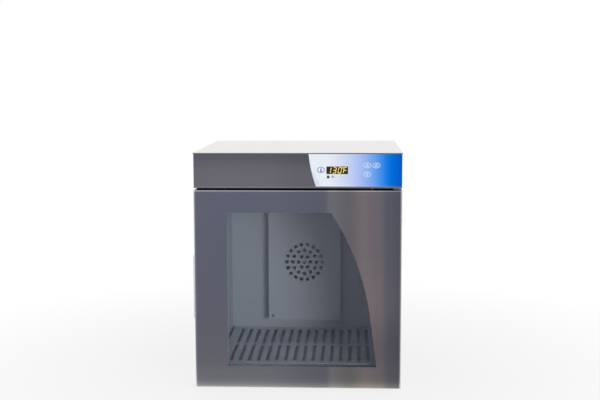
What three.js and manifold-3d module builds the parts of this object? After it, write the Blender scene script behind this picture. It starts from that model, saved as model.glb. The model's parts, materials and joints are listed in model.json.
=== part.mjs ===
// A blanket warming cabinet: a fan-blown heated chamber behind a glazed door, under a control head.
// Millimetres, +Z up, +X to the right. The door faces -Y. The origin is on the ground under the middle.

import * as THREE from 'three';
import { mergeVertices } from 'three/addons/utils/BufferGeometryUtils.js';
import Module from 'manifold-3d';

const wasm = await Module();
wasm.setup();

// Driving dimensions: case
const CASE_WIDTH = 610; // door and top cover
const BODY_DEPTH = 535; // front frame to the side panels' rear edges
const HEAD_HEIGHT = 103; // control head, with its top cover
const HEAD_SETBACK = 4; // fascia behind the door's front
const TOP_EDGE = 2.4; // hemmed edge of the top cover
const TOP_OVERHANG = 1.5; // top cover past the panels under it
const TOP_LIP = 12; // lips of the top cover inside the side panels
const REAR_INSET = 3; // rear cover inside the side panels' rear edges
const BASE_FLANGE = 20; // upturned edge of the base pan
const FASCIA_RETURN = 15; // folded edges of the fascia
const FOOT_HEIGHT = 14;
const FOOT_RADIUS = 18;
const FOOT_TAPER = 3; // how much narrower a foot is on the ground
const FOOT_INSET = 45; // foot centre from the body's edges
const FOOT_RECESS = 8; // radius of the screw recess under a foot
const FOOT_RECESS_DEPTH = 7;
const SHEET = 1.2; // outer sheet steel
const BEND_RADIUS = 4.5; // outside radius of the door's folded edges
const HINGE_SIDE_BEND = 8; // and of its edge beside the hinges
const FASCIA_INNER_BEND = 0.4; // inside radius of the fascia's folded edges
const FIT = 0.3; // clearance between neighbouring pieces

// Driving dimensions: chamber
const LINER_SHEET = 1;
const SIDE_INSULATION = 50;
const BASE_INSULATION = 43;
const TOP_INSULATION = 50;
const BACK_INSULATION = 25;
const REAR_SPACE = 58; // liner back to rear cover
const DUCT_WIDTH = 244;
const DUCT_DEPTH = 48;
const DUCT_MARGIN = 50; // duct ends from the chamber's floor and ceiling
const INTAKE_RINGS = 3; // rings of intake holes round the middle one
const INTAKE_PITCH = 20; // between rings, and about between holes
const INTAKE_RING_HOLES = 6; // holes in the first ring, and more in each ring after it
const INTAKE_RADIUS = 6.5;
const OUTLET_COUNT = 8; // outlet slots in each side of the duct
const OUTLET_HEIGHT = 24;
const OUTLET_DEPTH = 14;
const RACK_HEIGHT = 14;
const RACK_MARGIN = 6; // rack edge from the chamber's walls
const RACK_SLOT_PITCH = 28;
const RACK_SLOT_WIDTH = 11;
const RACK_RIB = 26; // solid bands of the rack, front to back
const RACK_ROWS = 2;

// Driving dimensions: door
const DOOR_HEIGHT = 590;
const DOOR_THICKNESS = 56;
const DOOR_STANDOFF = 9; // door back to front frame
const DOOR_SILL = 4; // case bottom up to the door's lower edge
const DOOR_LINER_FLANGE = 12;
const WINDOW_LEFT_MARGIN = 99;
const WINDOW_RIGHT_MARGIN = 72.7;
const WINDOW_TOP_MARGIN = 66;
const WINDOW_BOTTOM_MARGIN = 65.5;
const WINDOW_SWEEP = 134; // how far its right side runs out on the way down
const WINDOW_STRAIGHT = 152; // height of that side's straight lower part
const WINDOW_LEAN = 7.6; // that part's lean from upright, degrees
const GLASS = 4;
const PANE_MARGIN = 14; // glass past the window's outline
const WINDOW_RAIL = 8; // window frame bar
const LINER_LAP = 9; // door liner over the inner pane
const GASKET_OFFSET = 6; // gasket from the chamber's opening
const GASKET_WIDTH = 12;
const PULL_LENGTH = 190;
const PULL_PROJECTION = 8;
const PULL_SHEET = 1.5;
const PULL_SETBACK = 34; // pull behind the door's front
const PULL_LEAF = 20;
const SCREW_INSET = 88; // door screws from the door's sides
const SCREW_RADIUS = 2;
const SCREW_HEAD_RADIUS = 4;
const SCREW_HEAD = 2.2;

// Driving dimensions: hinges and catches
const HINGE_INSET = 15; // pivot from the door's right edge
const HINGE_SETBACK = 29; // pivot behind the door's front
const HINGE_CLEARANCE = 1.2; // door edge to hinge leaf
const HINGE_LEAF = 3;
const HINGE_HALF_WIDTH = 11;
const HINGE_NOSE = 8.5; // leaf ahead of the pivot
const HINGE_FOOT = 30; // leaf's screwed foot along the front frame
const HINGE_FOOT_SHEET = 3;
const PIN_RADIUS = 4;
const PIN_HEAD = 1.5; // sunk flush into the leaf
const PIN_HEAD_RADIUS = 6;
const PIN_REACH = 14; // pin inside the door
const BUSH_WALL = 2.5;
const BUSH_FLANGE = 3;
const BUSH_LENGTH = 16;
const HEAD_CLEARANCE = 1.2; // hinge leaf to control head
const MAGNET_INSET = 18; // catch centre from the door's left edge
const MAGNET_MARGIN = 143; // catch centres from the door's top and bottom
const MAGNET_WIDTH = 16;
const MAGNET_HEIGHT = 60;
const MAGNET_DEPTH = 5;
const STRIKE_BORDER = 2;

// Driving dimensions: fan and heater
const SHAFT_RADIUS = 4;
const SHAFT_SEAT = 24; // shaft inside the motor
const HUB_RADIUS = 12;
const BLADE_COUNT = 8;
const BLADE_SHEET = 1.5;
const BLADE_LEAN = 0.45; // radians off the radius
const FAN_END_GAP = 9; // impeller from the duct's front and back
const FAN_MARGIN = 17; // impeller tip to heater tube
const HEATER_RADIUS = 4;
const HEATER_MARGIN = 21; // heater tube to duct wall
const HEATER_LEG_ANGLE = 0.26; // half the ring's gap, in radians
const HEATER_BEND = 10;
const HEATER_TAIL = 33; // legs behind the liner back
const HEATER_FLANGE = 2;
const HEATER_FLANGE_BORDER = 8;
const MOTOR_RADIUS = 40;
const MOTOR_FLANGE = 6;
const MOTOR_FLANGE_SHEET = 3;
const MOTOR_CLEARANCE = 12; // motor end to rear cover
const PROBE_RADIUS = 3;
const PROBE_REACH = 45; // probe inside the chamber
const PROBE_COLLAR = 4;
const PROBE_TAIL = 12; // probe behind the liner
const PROBE_DROP = 60; // probe under the chamber's ceiling
const PROBE_OFFSET = 50; // probe from the duct's side
const THERMOSTAT_RADIUS = 10;
const THERMOSTAT_HEIGHT = 12;
const CUT_MARGIN = 5; // clearance round parts that pass the insulation

// Driving dimensions: control head
const OVERLAY = 0.8;
const OVERLAY_SIDE_MARGIN = 0.6;
const OVERLAY_TOP_MARGIN = 0.5;
const OVERLAY_BOTTOM_MARGIN = 5.8;
const OVERLAY_TOP_WIDTH = 270.4;
const OVERLAY_BOTTOM_WIDTH = 249.4;
const OVERLAY_ARC_RADIUS = 410;
const OVERLAY_CORNER = 6;
const DISPLAY_FROM_RIGHT = 188;
const DISPLAY_RISE = 2.8; // display centre over the fascia's middle
const DISPLAY_WIDTH = 62;
const DISPLAY_HEIGHT = 21.4;
const KEY_FROM_RIGHT = 101;
const KEY_RISE = 17; // upper keys over the fascia's middle
const KEY_PITCH_X = 26;
const KEY_PITCH_Z = 25.5;
const KEY_HALF_WIDTH = 11.8;
const KEY_HALF_HEIGHT = 9;
const KEY_CHAMFER = 0.4;
const KEY_PROUD = 0.5;
const KEY_FLANGE = 0.7;
const KEY_FLANGE_SHEET = 1.5;
const KEY_STEM_RADIUS = 4;
const KEY_STEM = 3;
const KEY_TRAVEL = 0.6;
const KEY_SLACK = 0.2; // stem to switch at the end of the travel
const SWITCH_SIZE = 6.2;
const SWITCH_HEIGHT = 3.2;
const BOARD = 1.6;
const BOARD_MARGIN = 8;
const STUD_RADIUS = 2;
const STUD_SHOULDER = 3.5;
const STUD_INSET = 4;
const STUD_TAIL = 5;
const SUPPLY_LENGTH = 150;
const SUPPLY_WIDTH = 95;
const SUPPLY_HEIGHT = 40;
const SUPPLY_EAR = 10;
const SUPPLY_EAR_SHEET = 2;
const SUPPLY_INSET = 90; // from the left side and the rear
const INLET_INSET = 60; // from the left side
const INLET_WIDTH = 27;
const INLET_HEIGHT = 20;
const INLET_DEPTH = 30;
const INLET_WALL = 2;
const INLET_SOCKET = 16;
const INLET_BORDER = 6;
const INLET_FLANGE = 2;
const VENT_COUNT = 6; // slots in each bank of the rear cover
const VENT_LENGTH = 120;
const VENT_WIDTH = 4;
const VENT_PITCH = 10;
const VENT_LOW = 70; // lower bank above the case bottom

// Facets and overcut
const ROUND_SIDES = 20;
const SMALL_SIDES = 10;
const BEND_STEPS = 4;
const TUBE_SIDES = 8;
const HEX_SIDES = 6;
const HEATER_STEPS = 60;
const HALF_RING_POINTS = 12; // points of the heater's path on half its ring
const LEG_BEND_POINTS = 3; // and on the bend into a leg
const ARC_POINTS = 2; // an arc has this many points for each curve segment
const OVERCUT = 1; // cutting shapes run this far past a face

// Derived places: outside
const HALF_CASE = CASE_WIDTH / 2;
const HALF_BODY = HALF_CASE - TOP_OVERHANG;
const HALF_INSIDE = HALF_BODY - SHEET - FIT;
const DOOR_FRONT = -(BODY_DEPTH + DOOR_STANDOFF + DOOR_THICKNESS) / 2;
const DOOR_BACK = DOOR_FRONT + DOOR_THICKNESS;
const BODY_FRONT = DOOR_BACK + DOOR_STANDOFF;
const BODY_BACK = BODY_FRONT + BODY_DEPTH;
const FRAME_BACK = BODY_FRONT + SHEET + FIT;
const REAR_FRONT = BODY_BACK - REAR_INSET - SHEET;
const REAR_LIMIT = REAR_FRONT - FIT;
const CASE_BOTTOM = FOOT_HEIGHT;
const DOOR_BOTTOM = CASE_BOTTOM + DOOR_SILL;
const DOOR_TOP = DOOR_BOTTOM + DOOR_HEIGHT;
const DOOR_MIDDLE = (DOOR_BOTTOM + DOOR_TOP) / 2;
const HEAD_BOTTOM = DOOR_TOP + HINGE_CLEARANCE + HINGE_LEAF + HEAD_CLEARANCE;
const CASE_TOP = HEAD_BOTTOM + HEAD_HEIGHT;
const PANEL_TOP = CASE_TOP - TOP_EDGE - FIT;
const FASCIA_FRONT = DOOR_FRONT + HEAD_SETBACK;
const FASCIA_BACK = FASCIA_FRONT + SHEET;
const FASCIA_BEND = FASCIA_INNER_BEND + SHEET;
const FASCIA_MIDDLE = (HEAD_BOTTOM + PANEL_TOP) / 2;
const CHEEK_FRONT = FASCIA_FRONT + FASCIA_RETURN + FIT;

// Derived places: chamber
const HALF_CHAMBER = HALF_INSIDE - SIDE_INSULATION - FIT - LINER_SHEET;
const HALF_LINER = HALF_CHAMBER + LINER_SHEET;
const CHAMBER_FLOOR = CASE_BOTTOM + SHEET + FIT + BASE_INSULATION + FIT + LINER_SHEET;
const CHAMBER_CEILING = HEAD_BOTTOM - FIT - TOP_INSULATION - FIT - LINER_SHEET;
const LINER_BOTTOM = CHAMBER_FLOOR - LINER_SHEET;
const LINER_TOP = CHAMBER_CEILING + LINER_SHEET;
const LINER_BACK = REAR_FRONT - REAR_SPACE - LINER_SHEET;
const LINER_REAR = LINER_BACK + LINER_SHEET;
const SEAT_REAR = LINER_REAR + FIT;
const DUCT_BACK = LINER_BACK - FIT;
const DUCT_FRONT = DUCT_BACK - DUCT_DEPTH;
const HALF_DUCT = DUCT_WIDTH / 2;
const DUCT_BOTTOM = CHAMBER_FLOOR + DUCT_MARGIN;
const DUCT_TOP = CHAMBER_CEILING - DUCT_MARGIN;
const FAN_Z = (CHAMBER_FLOOR + CHAMBER_CEILING) / 2;
const FAN_FRONT = DUCT_FRONT + LINER_SHEET + FAN_END_GAP;
const FAN_BACK = LINER_BACK - FAN_END_GAP;
const HEATER_RING = HALF_DUCT - LINER_SHEET - HEATER_MARGIN - HEATER_RADIUS;
const IMPELLER_RADIUS = HEATER_RING - HEATER_RADIUS - FAN_MARGIN;
const HEATER_PLANE = (FAN_FRONT + FAN_BACK) / 2;
const LEG_X = HEATER_RING * Math.sin(HEATER_LEG_ANGLE) - HEATER_BEND * Math.cos(HEATER_LEG_ANGLE);
const LEG_Z = FAN_Z - HEATER_RING * Math.cos(HEATER_LEG_ANGLE) - HEATER_BEND * Math.sin(HEATER_LEG_ANGLE);
const LEG_HOLE = HEATER_RADIUS + 2 * FIT;
const MOTOR_LENGTH = REAR_SPACE - MOTOR_CLEARANCE;
const MOTOR_RIM = MOTOR_RADIUS + MOTOR_FLANGE;
const PROBE_X = -HALF_DUCT - PROBE_OFFSET;
const PROBE_Z = CHAMBER_CEILING - PROBE_DROP;
const PROBE_COLLAR_RADIUS = PROBE_RADIUS + PROBE_COLLAR;
const THERMOSTAT_X = MOTOR_RIM + CUT_MARGIN + THERMOSTAT_RADIUS;

// Derived places: door, hinges and controls
const WINDOW_LEFT = -HALF_CASE + WINDOW_LEFT_MARGIN;
const WINDOW_RIGHT = HALF_CASE - WINDOW_RIGHT_MARGIN;
const WINDOW_TOP = DOOR_TOP - WINDOW_TOP_MARGIN;
const WINDOW_BOTTOM = DOOR_BOTTOM + WINDOW_BOTTOM_MARGIN;
const PANE = {
  left: WINDOW_LEFT - PANE_MARGIN,
  right: WINDOW_RIGHT + PANE_MARGIN,
  bottom: WINDOW_BOTTOM - PANE_MARGIN,
  top: WINDOW_TOP + PANE_MARGIN,
};
const OUTER_PANE_FRONT = DOOR_FRONT + SHEET + FIT;
const OUTER_PANE_BACK = OUTER_PANE_FRONT + GLASS;
const INNER_PANE_BACK = DOOR_BACK - SHEET - FIT;
const INNER_PANE_FRONT = INNER_PANE_BACK - GLASS;
const DOOR_FILL_INSET = Math.max(BEND_RADIUS, HINGE_SIDE_BEND) + FIT;
const HINGE_X = HALF_CASE - HINGE_INSET;
const HINGE_Y = DOOR_FRONT + HINGE_SETBACK;
const BUSH_BORE = PIN_RADIUS + FIT;
const BUSH_RADIUS = BUSH_BORE + BUSH_WALL;
const BUSH_RIM = BUSH_RADIUS + BUSH_FLANGE;
const SCREW_X = HALF_CASE - SCREW_INSET;
const SCREW_Y = DOOR_BACK - SHEET - DOOR_LINER_FLANGE / 2;
const MAGNET_X = -HALF_CASE + MAGNET_INSET;
const OVERLAY_BACK = FASCIA_FRONT - FIT;
const OVERLAY_FRONT = OVERLAY_BACK - OVERLAY;
const OVERLAY_RIGHT = HALF_BODY - OVERLAY_SIDE_MARGIN;
const OVERLAY_TOP = PANEL_TOP - OVERLAY_TOP_MARGIN;
const OVERLAY_BOTTOM = HEAD_BOTTOM + OVERLAY_BOTTOM_MARGIN;
const DISPLAY_X = HALF_BODY - DISPLAY_FROM_RIGHT;
const DISPLAY_Z = FASCIA_MIDDLE + DISPLAY_RISE;
const KEY_X = HALF_BODY - KEY_FROM_RIGHT;
const KEY_Z = FASCIA_MIDDLE + KEY_RISE;
const KEY_PLACES = {
  key_up: [KEY_X, KEY_Z],
  key_mode: [KEY_X + KEY_PITCH_X, KEY_Z],
  key_down: [KEY_X, KEY_Z - KEY_PITCH_Z],
};
const KEY_FLANGE_FRONT = FASCIA_BACK + FIT;
const KEY_END = KEY_FLANGE_FRONT + KEY_FLANGE_SHEET + KEY_STEM;
const SWITCH_FRONT = KEY_END + KEY_TRAVEL + KEY_SLACK;
const BOARD_FRONT = SWITCH_FRONT + SWITCH_HEIGHT;
const BOARD_BACK = BOARD_FRONT + BOARD;
const BOARD_EDGES = {
  left: DISPLAY_X - DISPLAY_WIDTH / 2 - BOARD_MARGIN,
  right: KEY_X + KEY_PITCH_X + KEY_HALF_WIDTH + BOARD_MARGIN,
  bottom: KEY_Z - KEY_PITCH_Z - KEY_HALF_HEIGHT - BOARD_MARGIN,
  top: KEY_Z + KEY_HALF_HEIGHT + BOARD_MARGIN,
};
const INLET_X = -HALF_INSIDE + INLET_INSET;

// Materials
function finish(color, roughness, metalness) {
  return new THREE.MeshStandardMaterial({ color, roughness, metalness });
}

function clear(color, opacity) {
  return new THREE.MeshStandardMaterial({ color, roughness: 0.05, metalness: 0, transparent: true, opacity });
}

const brushedSteel = finish(0x9a9aa2, 0.35, 1);
const linerSteel = finish(0xa8adb4, 0.4, 1);
const plainSteel = finish(0x8c8f94, 0.45, 1);
const windowGlass = clear(0xe4eef0, 0.2);
const smokedLens = clear(0x101014, 0.85);
const overlayFilm = finish(0x6fa0e4, 0.4, 0);
const keyFilm = finish(0xd5e0f5, 0.45, 0);
const framePaint = finish(0x17171a, 0.6, 0);
const gasketRubber = finish(0x2b2b2d, 0.8, 0);
const footRubber = finish(0x1f1f20, 0.85, 0);
const mineralWool = finish(0xc9bd8a, 1, 0);
const circuitBoard = finish(0x1f5a35, 0.6, 0);
const moulding = finish(0x202124, 0.5, 0);
const paintedHousing = finish(0x4a4d52, 0.5, 0.4);
const magnetBlock = finish(0x3a3a3c, 0.6, 0.2);
const bronze = finish(0xa87b45, 0.45, 1);
const heaterSheath = finish(0x5d5854, 0.5, 1);

// Solids: joining and cutting
function solidOf(geometry) {
  const bare = geometry.clone();
  bare.deleteAttribute('normal');
  bare.deleteAttribute('uv');
  const merged = mergeVertices(bare);
  return new wasm.Manifold(new wasm.Mesh({
    numProp: 3,
    vertProperties: new Float32Array(merged.attributes.position.array),
    triVerts: new Uint32Array(merged.index.array),
  }));
}

function geometryOf(solid) {
  const mesh = solid.getMesh();
  const geometry = new THREE.BufferGeometry();
  geometry.setAttribute('position', new THREE.BufferAttribute(mesh.vertProperties, 3));
  geometry.setIndex(new THREE.BufferAttribute(mesh.triVerts, 1));
  geometry.computeVertexNormals();
  return geometry;
}

function cut(base, ...tools) {
  return geometryOf(tools.reduce((left, tool) => left.subtract(solidOf(tool)), solidOf(base)));
}

function join(...pieces) {
  return geometryOf(pieces.map(solidOf).reduce((whole, piece) => whole.add(piece)));
}

// Solids: blocks, plates, rods and turned shapes
const SEEN_FROM_FRONT = new THREE.Matrix4().makeBasis(
  new THREE.Vector3(1, 0, 0), new THREE.Vector3(0, 0, 1), new THREE.Vector3(0, -1, 0));
const SEEN_FROM_RIGHT = new THREE.Matrix4().makeBasis(
  new THREE.Vector3(0, 1, 0), new THREE.Vector3(0, 0, 1), new THREE.Vector3(1, 0, 0));

function block(x0, x1, y0, y1, z0, z1) {
  return new THREE.BoxGeometry(x1 - x0, y1 - y0, z1 - z0)
    .translate((x0 + x1) / 2, (y0 + y1) / 2, (z0 + z1) / 2);
}

function extruded(shape, depth) {
  const curveSegments = ROUND_SIDES / ARC_POINTS;
  return new THREE.ExtrudeGeometry(shape, { depth, bevelEnabled: false, curveSegments });
}

function frontPlate(shape, y0, y1) {
  return extruded(shape, y1 - y0).applyMatrix4(SEEN_FROM_FRONT).translate(0, y1, 0);
}

function sidePlate(shape, x0, x1) {
  return extruded(shape, x1 - x0).applyMatrix4(SEEN_FROM_RIGHT).translate(x0, 0, 0);
}

function upright(shape, z0, z1) {
  return extruded(shape, z1 - z0).translate(0, 0, z0);
}

function rodY(radius, x, z, y0, y1, sides = ROUND_SIDES) {
  return new THREE.CylinderGeometry(radius, radius, y1 - y0, sides).translate(x, (y0 + y1) / 2, z);
}

function rodZ(radius, x, y, z0, z1, sides = ROUND_SIDES) {
  return new THREE.CylinderGeometry(radius, radius, z1 - z0, sides)
    .rotateX(Math.PI / 2)
    .translate(x, y, (z0 + z1) / 2);
}

// Turns a profile of [radius, height] points about the Y axis, with the heights rising first.
function turned(profile, sides = ROUND_SIDES) {
  return new THREE.LatheGeometry(profile.map(([radius, height]) => new THREE.Vector2(radius, height)), sides);
}

// Solids: outlines
function polygon(points) {
  return new THREE.Shape(points.map(([x, y]) => new THREE.Vector2(x, y)));
}

function rectangle(x0, x1, y0, y1) {
  return polygon([[x0, y0], [x1, y0], [x1, y1], [x0, y1]]);
}

function circle(x, y, radius) {
  return new THREE.Path().absarc(x, y, radius, 0, 2 * Math.PI, true);
}

function oval(x, y, halfWidth, halfHeight) {
  return new THREE.Shape().absellipse(x, y, halfWidth, halfHeight, 0, 2 * Math.PI);
}

// Continues an outline to a point along an arc that turns clockwise or not.
function arcTo(shape, [x, y], radius, clockwise) {
  const start = shape.currentPoint.clone();
  const end = new THREE.Vector2(x, y);
  const chord = end.clone().sub(start);
  const height = Math.sqrt(radius ** 2 - chord.lengthSq() / 4);
  const side = new THREE.Vector2(-chord.y, chord.x).setLength(clockwise ? -height : height);
  const centre = start.clone().add(end).multiplyScalar(0.5).add(side);
  const from = start.sub(centre).angle();
  const to = end.sub(centre).angle();
  return shape.absarc(centre.x, centre.y, radius, from, to, clockwise);
}

// A block whose front edges are rounded as a folded sheet's are.
function foldedBlock(x0, x1, y0, y1, z0, z1, radius) {
  const outline = rectangle(x0 + radius, x1 - radius, z0 + radius, z1 - radius);
  const rounded = new THREE.ExtrudeGeometry(outline, {
    depth: y1 - y0,
    bevelThickness: radius,
    bevelSize: radius,
    bevelSegments: BEND_STEPS,
  }).applyMatrix4(SEEN_FROM_FRONT).translate(0, y1 + radius, 0);
  const behind = block(
    x0 - OVERCUT, x1 + OVERCUT, y1, y1 + 2 * radius + OVERCUT, z0 - OVERCUT, z1 + OVERCUT);
  return cut(rounded, behind);
}

// Adds a named piece to a group.
function piece(group, name, geometry, material) {
  const mesh = new THREE.Mesh(geometry, material);
  mesh.name = name;
  group.add(mesh);
  return mesh;
}

// Case: base, sides, top and rear
function makeBasePan() {
  const rim = CASE_BOTTOM + BASE_FLANGE;
  const tray = block(-HALF_INSIDE, HALF_INSIDE, FRAME_BACK, REAR_LIMIT, CASE_BOTTOM, rim);
  const hollow = block(
    -HALF_INSIDE + SHEET, HALF_INSIDE - SHEET, FRAME_BACK + SHEET, REAR_LIMIT - SHEET,
    CASE_BOTTOM + SHEET, rim + OVERCUT);
  return cut(tray, hollow);
}

function makeSidePanel(x0) {
  const outline = polygon([
    [BODY_FRONT, CASE_BOTTOM],
    [BODY_BACK, CASE_BOTTOM],
    [BODY_BACK, PANEL_TOP],
    [CHEEK_FRONT, PANEL_TOP],
    [CHEEK_FRONT, HEAD_BOTTOM],
    [BODY_FRONT, HEAD_BOTTOM],
  ]);
  return sidePlate(outline, x0, x0 + SHEET);
}

function makeTopCover() {
  const plate = block(
    -HALF_CASE, HALF_CASE, FASCIA_FRONT - TOP_OVERHANG, BODY_BACK, CASE_TOP - TOP_EDGE, CASE_TOP);
  const lips = [-HALF_INSIDE, HALF_INSIDE - SHEET].map((x0) => block(
    x0, x0 + SHEET, CHEEK_FRONT, REAR_LIMIT, PANEL_TOP - TOP_LIP, CASE_TOP - TOP_EDGE / 2));
  return join(plate, ...lips);
}

function makeRearCover() {
  const outline = rectangle(-HALF_INSIDE, HALF_INSIDE, CASE_BOTTOM, PANEL_TOP);
  const bankHeight = (VENT_COUNT - 1) * VENT_PITCH;
  for (const start of [CASE_BOTTOM + VENT_LOW, FASCIA_MIDDLE - bankHeight / 2]) {
    for (let slot = 0; slot < VENT_COUNT; slot += 1) {
      const z = start + slot * VENT_PITCH;
      outline.holes.push(rectangle(
        -VENT_LENGTH / 2, VENT_LENGTH / 2, z - VENT_WIDTH / 2, z + VENT_WIDTH / 2));
    }
  }
  outline.holes.push(rectangle(
    INLET_X - INLET_WIDTH / 2 - FIT, INLET_X + INLET_WIDTH / 2 + FIT,
    FASCIA_MIDDLE - INLET_HEIGHT / 2 - FIT, FASCIA_MIDDLE + INLET_HEIGHT / 2 + FIT));
  return frontPlate(outline, REAR_FRONT, REAR_FRONT + SHEET);
}

function makeFrontFrame() {
  const outline = rectangle(-HALF_INSIDE, HALF_INSIDE, CASE_BOTTOM, HEAD_BOTTOM - FIT);
  outline.holes.push(rectangle(-HALF_CHAMBER, HALF_CHAMBER, CHAMBER_FLOOR, CHAMBER_CEILING));
  return frontPlate(outline, BODY_FRONT, BODY_FRONT + SHEET);
}

function makeFoot() {
  const top = FOOT_HEIGHT - FIT;
  const ground = FOOT_RADIUS - FOOT_TAPER;
  const profile = [
    [0, FOOT_RECESS_DEPTH],
    [FOOT_RECESS, FOOT_RECESS_DEPTH],
    [FOOT_RECESS, 0],
    [ground, 0],
    [FOOT_RADIUS, top],
    [0, top],
  ];
  return turned(profile).rotateX(Math.PI / 2);
}

function addCase(group) {
  piece(group, 'base_pan', makeBasePan(), plainSteel);
  piece(group, 'side_panel_left', makeSidePanel(-HALF_BODY), brushedSteel);
  piece(group, 'side_panel_right', makeSidePanel(HALF_BODY - SHEET), brushedSteel);
  piece(group, 'top_cover', makeTopCover(), brushedSteel);
  piece(group, 'rear_cover', makeRearCover(), plainSteel);
  piece(group, 'front_frame', makeFrontFrame(), framePaint);
  const headFloor = block(
    -HALF_INSIDE, HALF_INSIDE, CHEEK_FRONT, REAR_LIMIT, HEAD_BOTTOM, HEAD_BOTTOM + SHEET);
  piece(group, 'head_floor', headFloor, plainSteel);
  const rows = { front: BODY_FRONT + FOOT_INSET, rear: BODY_BACK - FOOT_INSET };
  const columns = { left: -HALF_BODY + FOOT_INSET, right: HALF_BODY - FOOT_INSET };
  for (const [row, y] of Object.entries(rows)) {
    for (const [column, x] of Object.entries(columns)) {
      piece(group, `foot_${row}_${column}`, makeFoot(), footRubber).position.set(x, y, 0);
    }
  }
}

// Chamber: liner, rack and insulation
function makeLinerBack() {
  const outline = rectangle(-HALF_LINER, HALF_LINER, LINER_BOTTOM, LINER_TOP);
  outline.holes.push(circle(0, FAN_Z, SHAFT_RADIUS + CUT_MARGIN));
  outline.holes.push(circle(-LEG_X, LEG_Z, LEG_HOLE));
  outline.holes.push(circle(LEG_X, LEG_Z, LEG_HOLE));
  outline.holes.push(circle(PROBE_X, PROBE_Z, PROBE_RADIUS + FIT));
  return frontPlate(outline, LINER_BACK, LINER_REAR);
}

function addLiner(group) {
  const back = LINER_BACK - FIT;
  const wallBottom = CHAMBER_FLOOR + FIT;
  const wallTop = CHAMBER_CEILING - FIT;
  const floor = block(-HALF_LINER, HALF_LINER, FRAME_BACK, back, LINER_BOTTOM, CHAMBER_FLOOR);
  const ceiling = block(-HALF_LINER, HALF_LINER, FRAME_BACK, back, CHAMBER_CEILING, LINER_TOP);
  piece(group, 'liner_floor', floor, linerSteel);
  piece(group, 'liner_ceiling', ceiling, linerSteel);
  const left = block(-HALF_LINER, -HALF_CHAMBER, FRAME_BACK, back, wallBottom, wallTop);
  const right = block(HALF_CHAMBER, HALF_LINER, FRAME_BACK, back, wallBottom, wallTop);
  piece(group, 'liner_left', left, linerSteel);
  piece(group, 'liner_right', right, linerSteel);
  piece(group, 'liner_back', makeLinerBack(), linerSteel);
}

function makeFloorRack() {
  const halfWidth = HALF_CHAMBER - RACK_MARGIN;
  const front = FRAME_BACK + RACK_MARGIN;
  const back = LINER_BACK - RACK_MARGIN;
  const bottom = CHAMBER_FLOOR + FIT;
  const top = CHAMBER_FLOOR + RACK_HEIGHT;
  const tray = block(-halfWidth, halfWidth, front, back, bottom, top);
  const hollow = block(
    -halfWidth + LINER_SHEET, halfWidth - LINER_SHEET, front + LINER_SHEET, back - LINER_SHEET,
    bottom - OVERCUT, top - LINER_SHEET);
  const columns = Math.floor((2 * halfWidth - RACK_RIB) / RACK_SLOT_PITCH);
  const slotLength = (back - front - RACK_RIB) / RACK_ROWS - RACK_RIB;
  const slots = [];
  for (let column = 0; column < columns; column += 1) {
    const x = (column - (columns - 1) / 2) * RACK_SLOT_PITCH;
    for (let row = 0; row < RACK_ROWS; row += 1) {
      const y = front + RACK_RIB + row * (slotLength + RACK_RIB);
      slots.push(block(
        x - RACK_SLOT_WIDTH / 2, x + RACK_SLOT_WIDTH / 2, y, y + slotLength,
        top - LINER_SHEET - OVERCUT, top + OVERCUT));
    }
  }
  return cut(tray, hollow, ...slots);
}

function makeBackInsulation() {
  const outline = rectangle(-HALF_LINER, HALF_LINER, LINER_BOTTOM, LINER_TOP);
  const halfOpening = THERMOSTAT_X + THERMOSTAT_RADIUS + CUT_MARGIN;
  const openingBottom = LEG_Z - HEATER_RADIUS - HEATER_FLANGE_BORDER - CUT_MARGIN;
  const openingTop = FAN_Z + MOTOR_RIM + CUT_MARGIN;
  outline.holes.push(rectangle(-halfOpening, halfOpening, openingBottom, openingTop));
  outline.holes.push(circle(PROBE_X, PROBE_Z, PROBE_COLLAR_RADIUS + CUT_MARGIN));
  return frontPlate(outline, SEAT_REAR, SEAT_REAR + BACK_INSULATION);
}

function addInsulation(group) {
  const base = block(
    -HALF_INSIDE + SHEET + FIT, HALF_INSIDE - SHEET - FIT, FRAME_BACK + SHEET + FIT, REAR_LIMIT - SHEET - FIT,
    CASE_BOTTOM + SHEET + FIT, LINER_BOTTOM - FIT);
  const top = block(-HALF_INSIDE, HALF_INSIDE, FRAME_BACK, REAR_LIMIT, LINER_TOP + FIT, HEAD_BOTTOM - FIT);
  const sideIn = HALF_LINER + FIT;
  const left = block(-HALF_INSIDE, -sideIn, FRAME_BACK, LINER_REAR, LINER_BOTTOM, LINER_TOP);
  const right = block(sideIn, HALF_INSIDE, FRAME_BACK, LINER_REAR, LINER_BOTTOM, LINER_TOP);
  piece(group, 'insulation_base', base, mineralWool);
  piece(group, 'insulation_top', top, mineralWool);
  piece(group, 'insulation_left', left, mineralWool);
  piece(group, 'insulation_right', right, mineralWool);
  piece(group, 'insulation_back', makeBackInsulation(), mineralWool);
}

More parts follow.
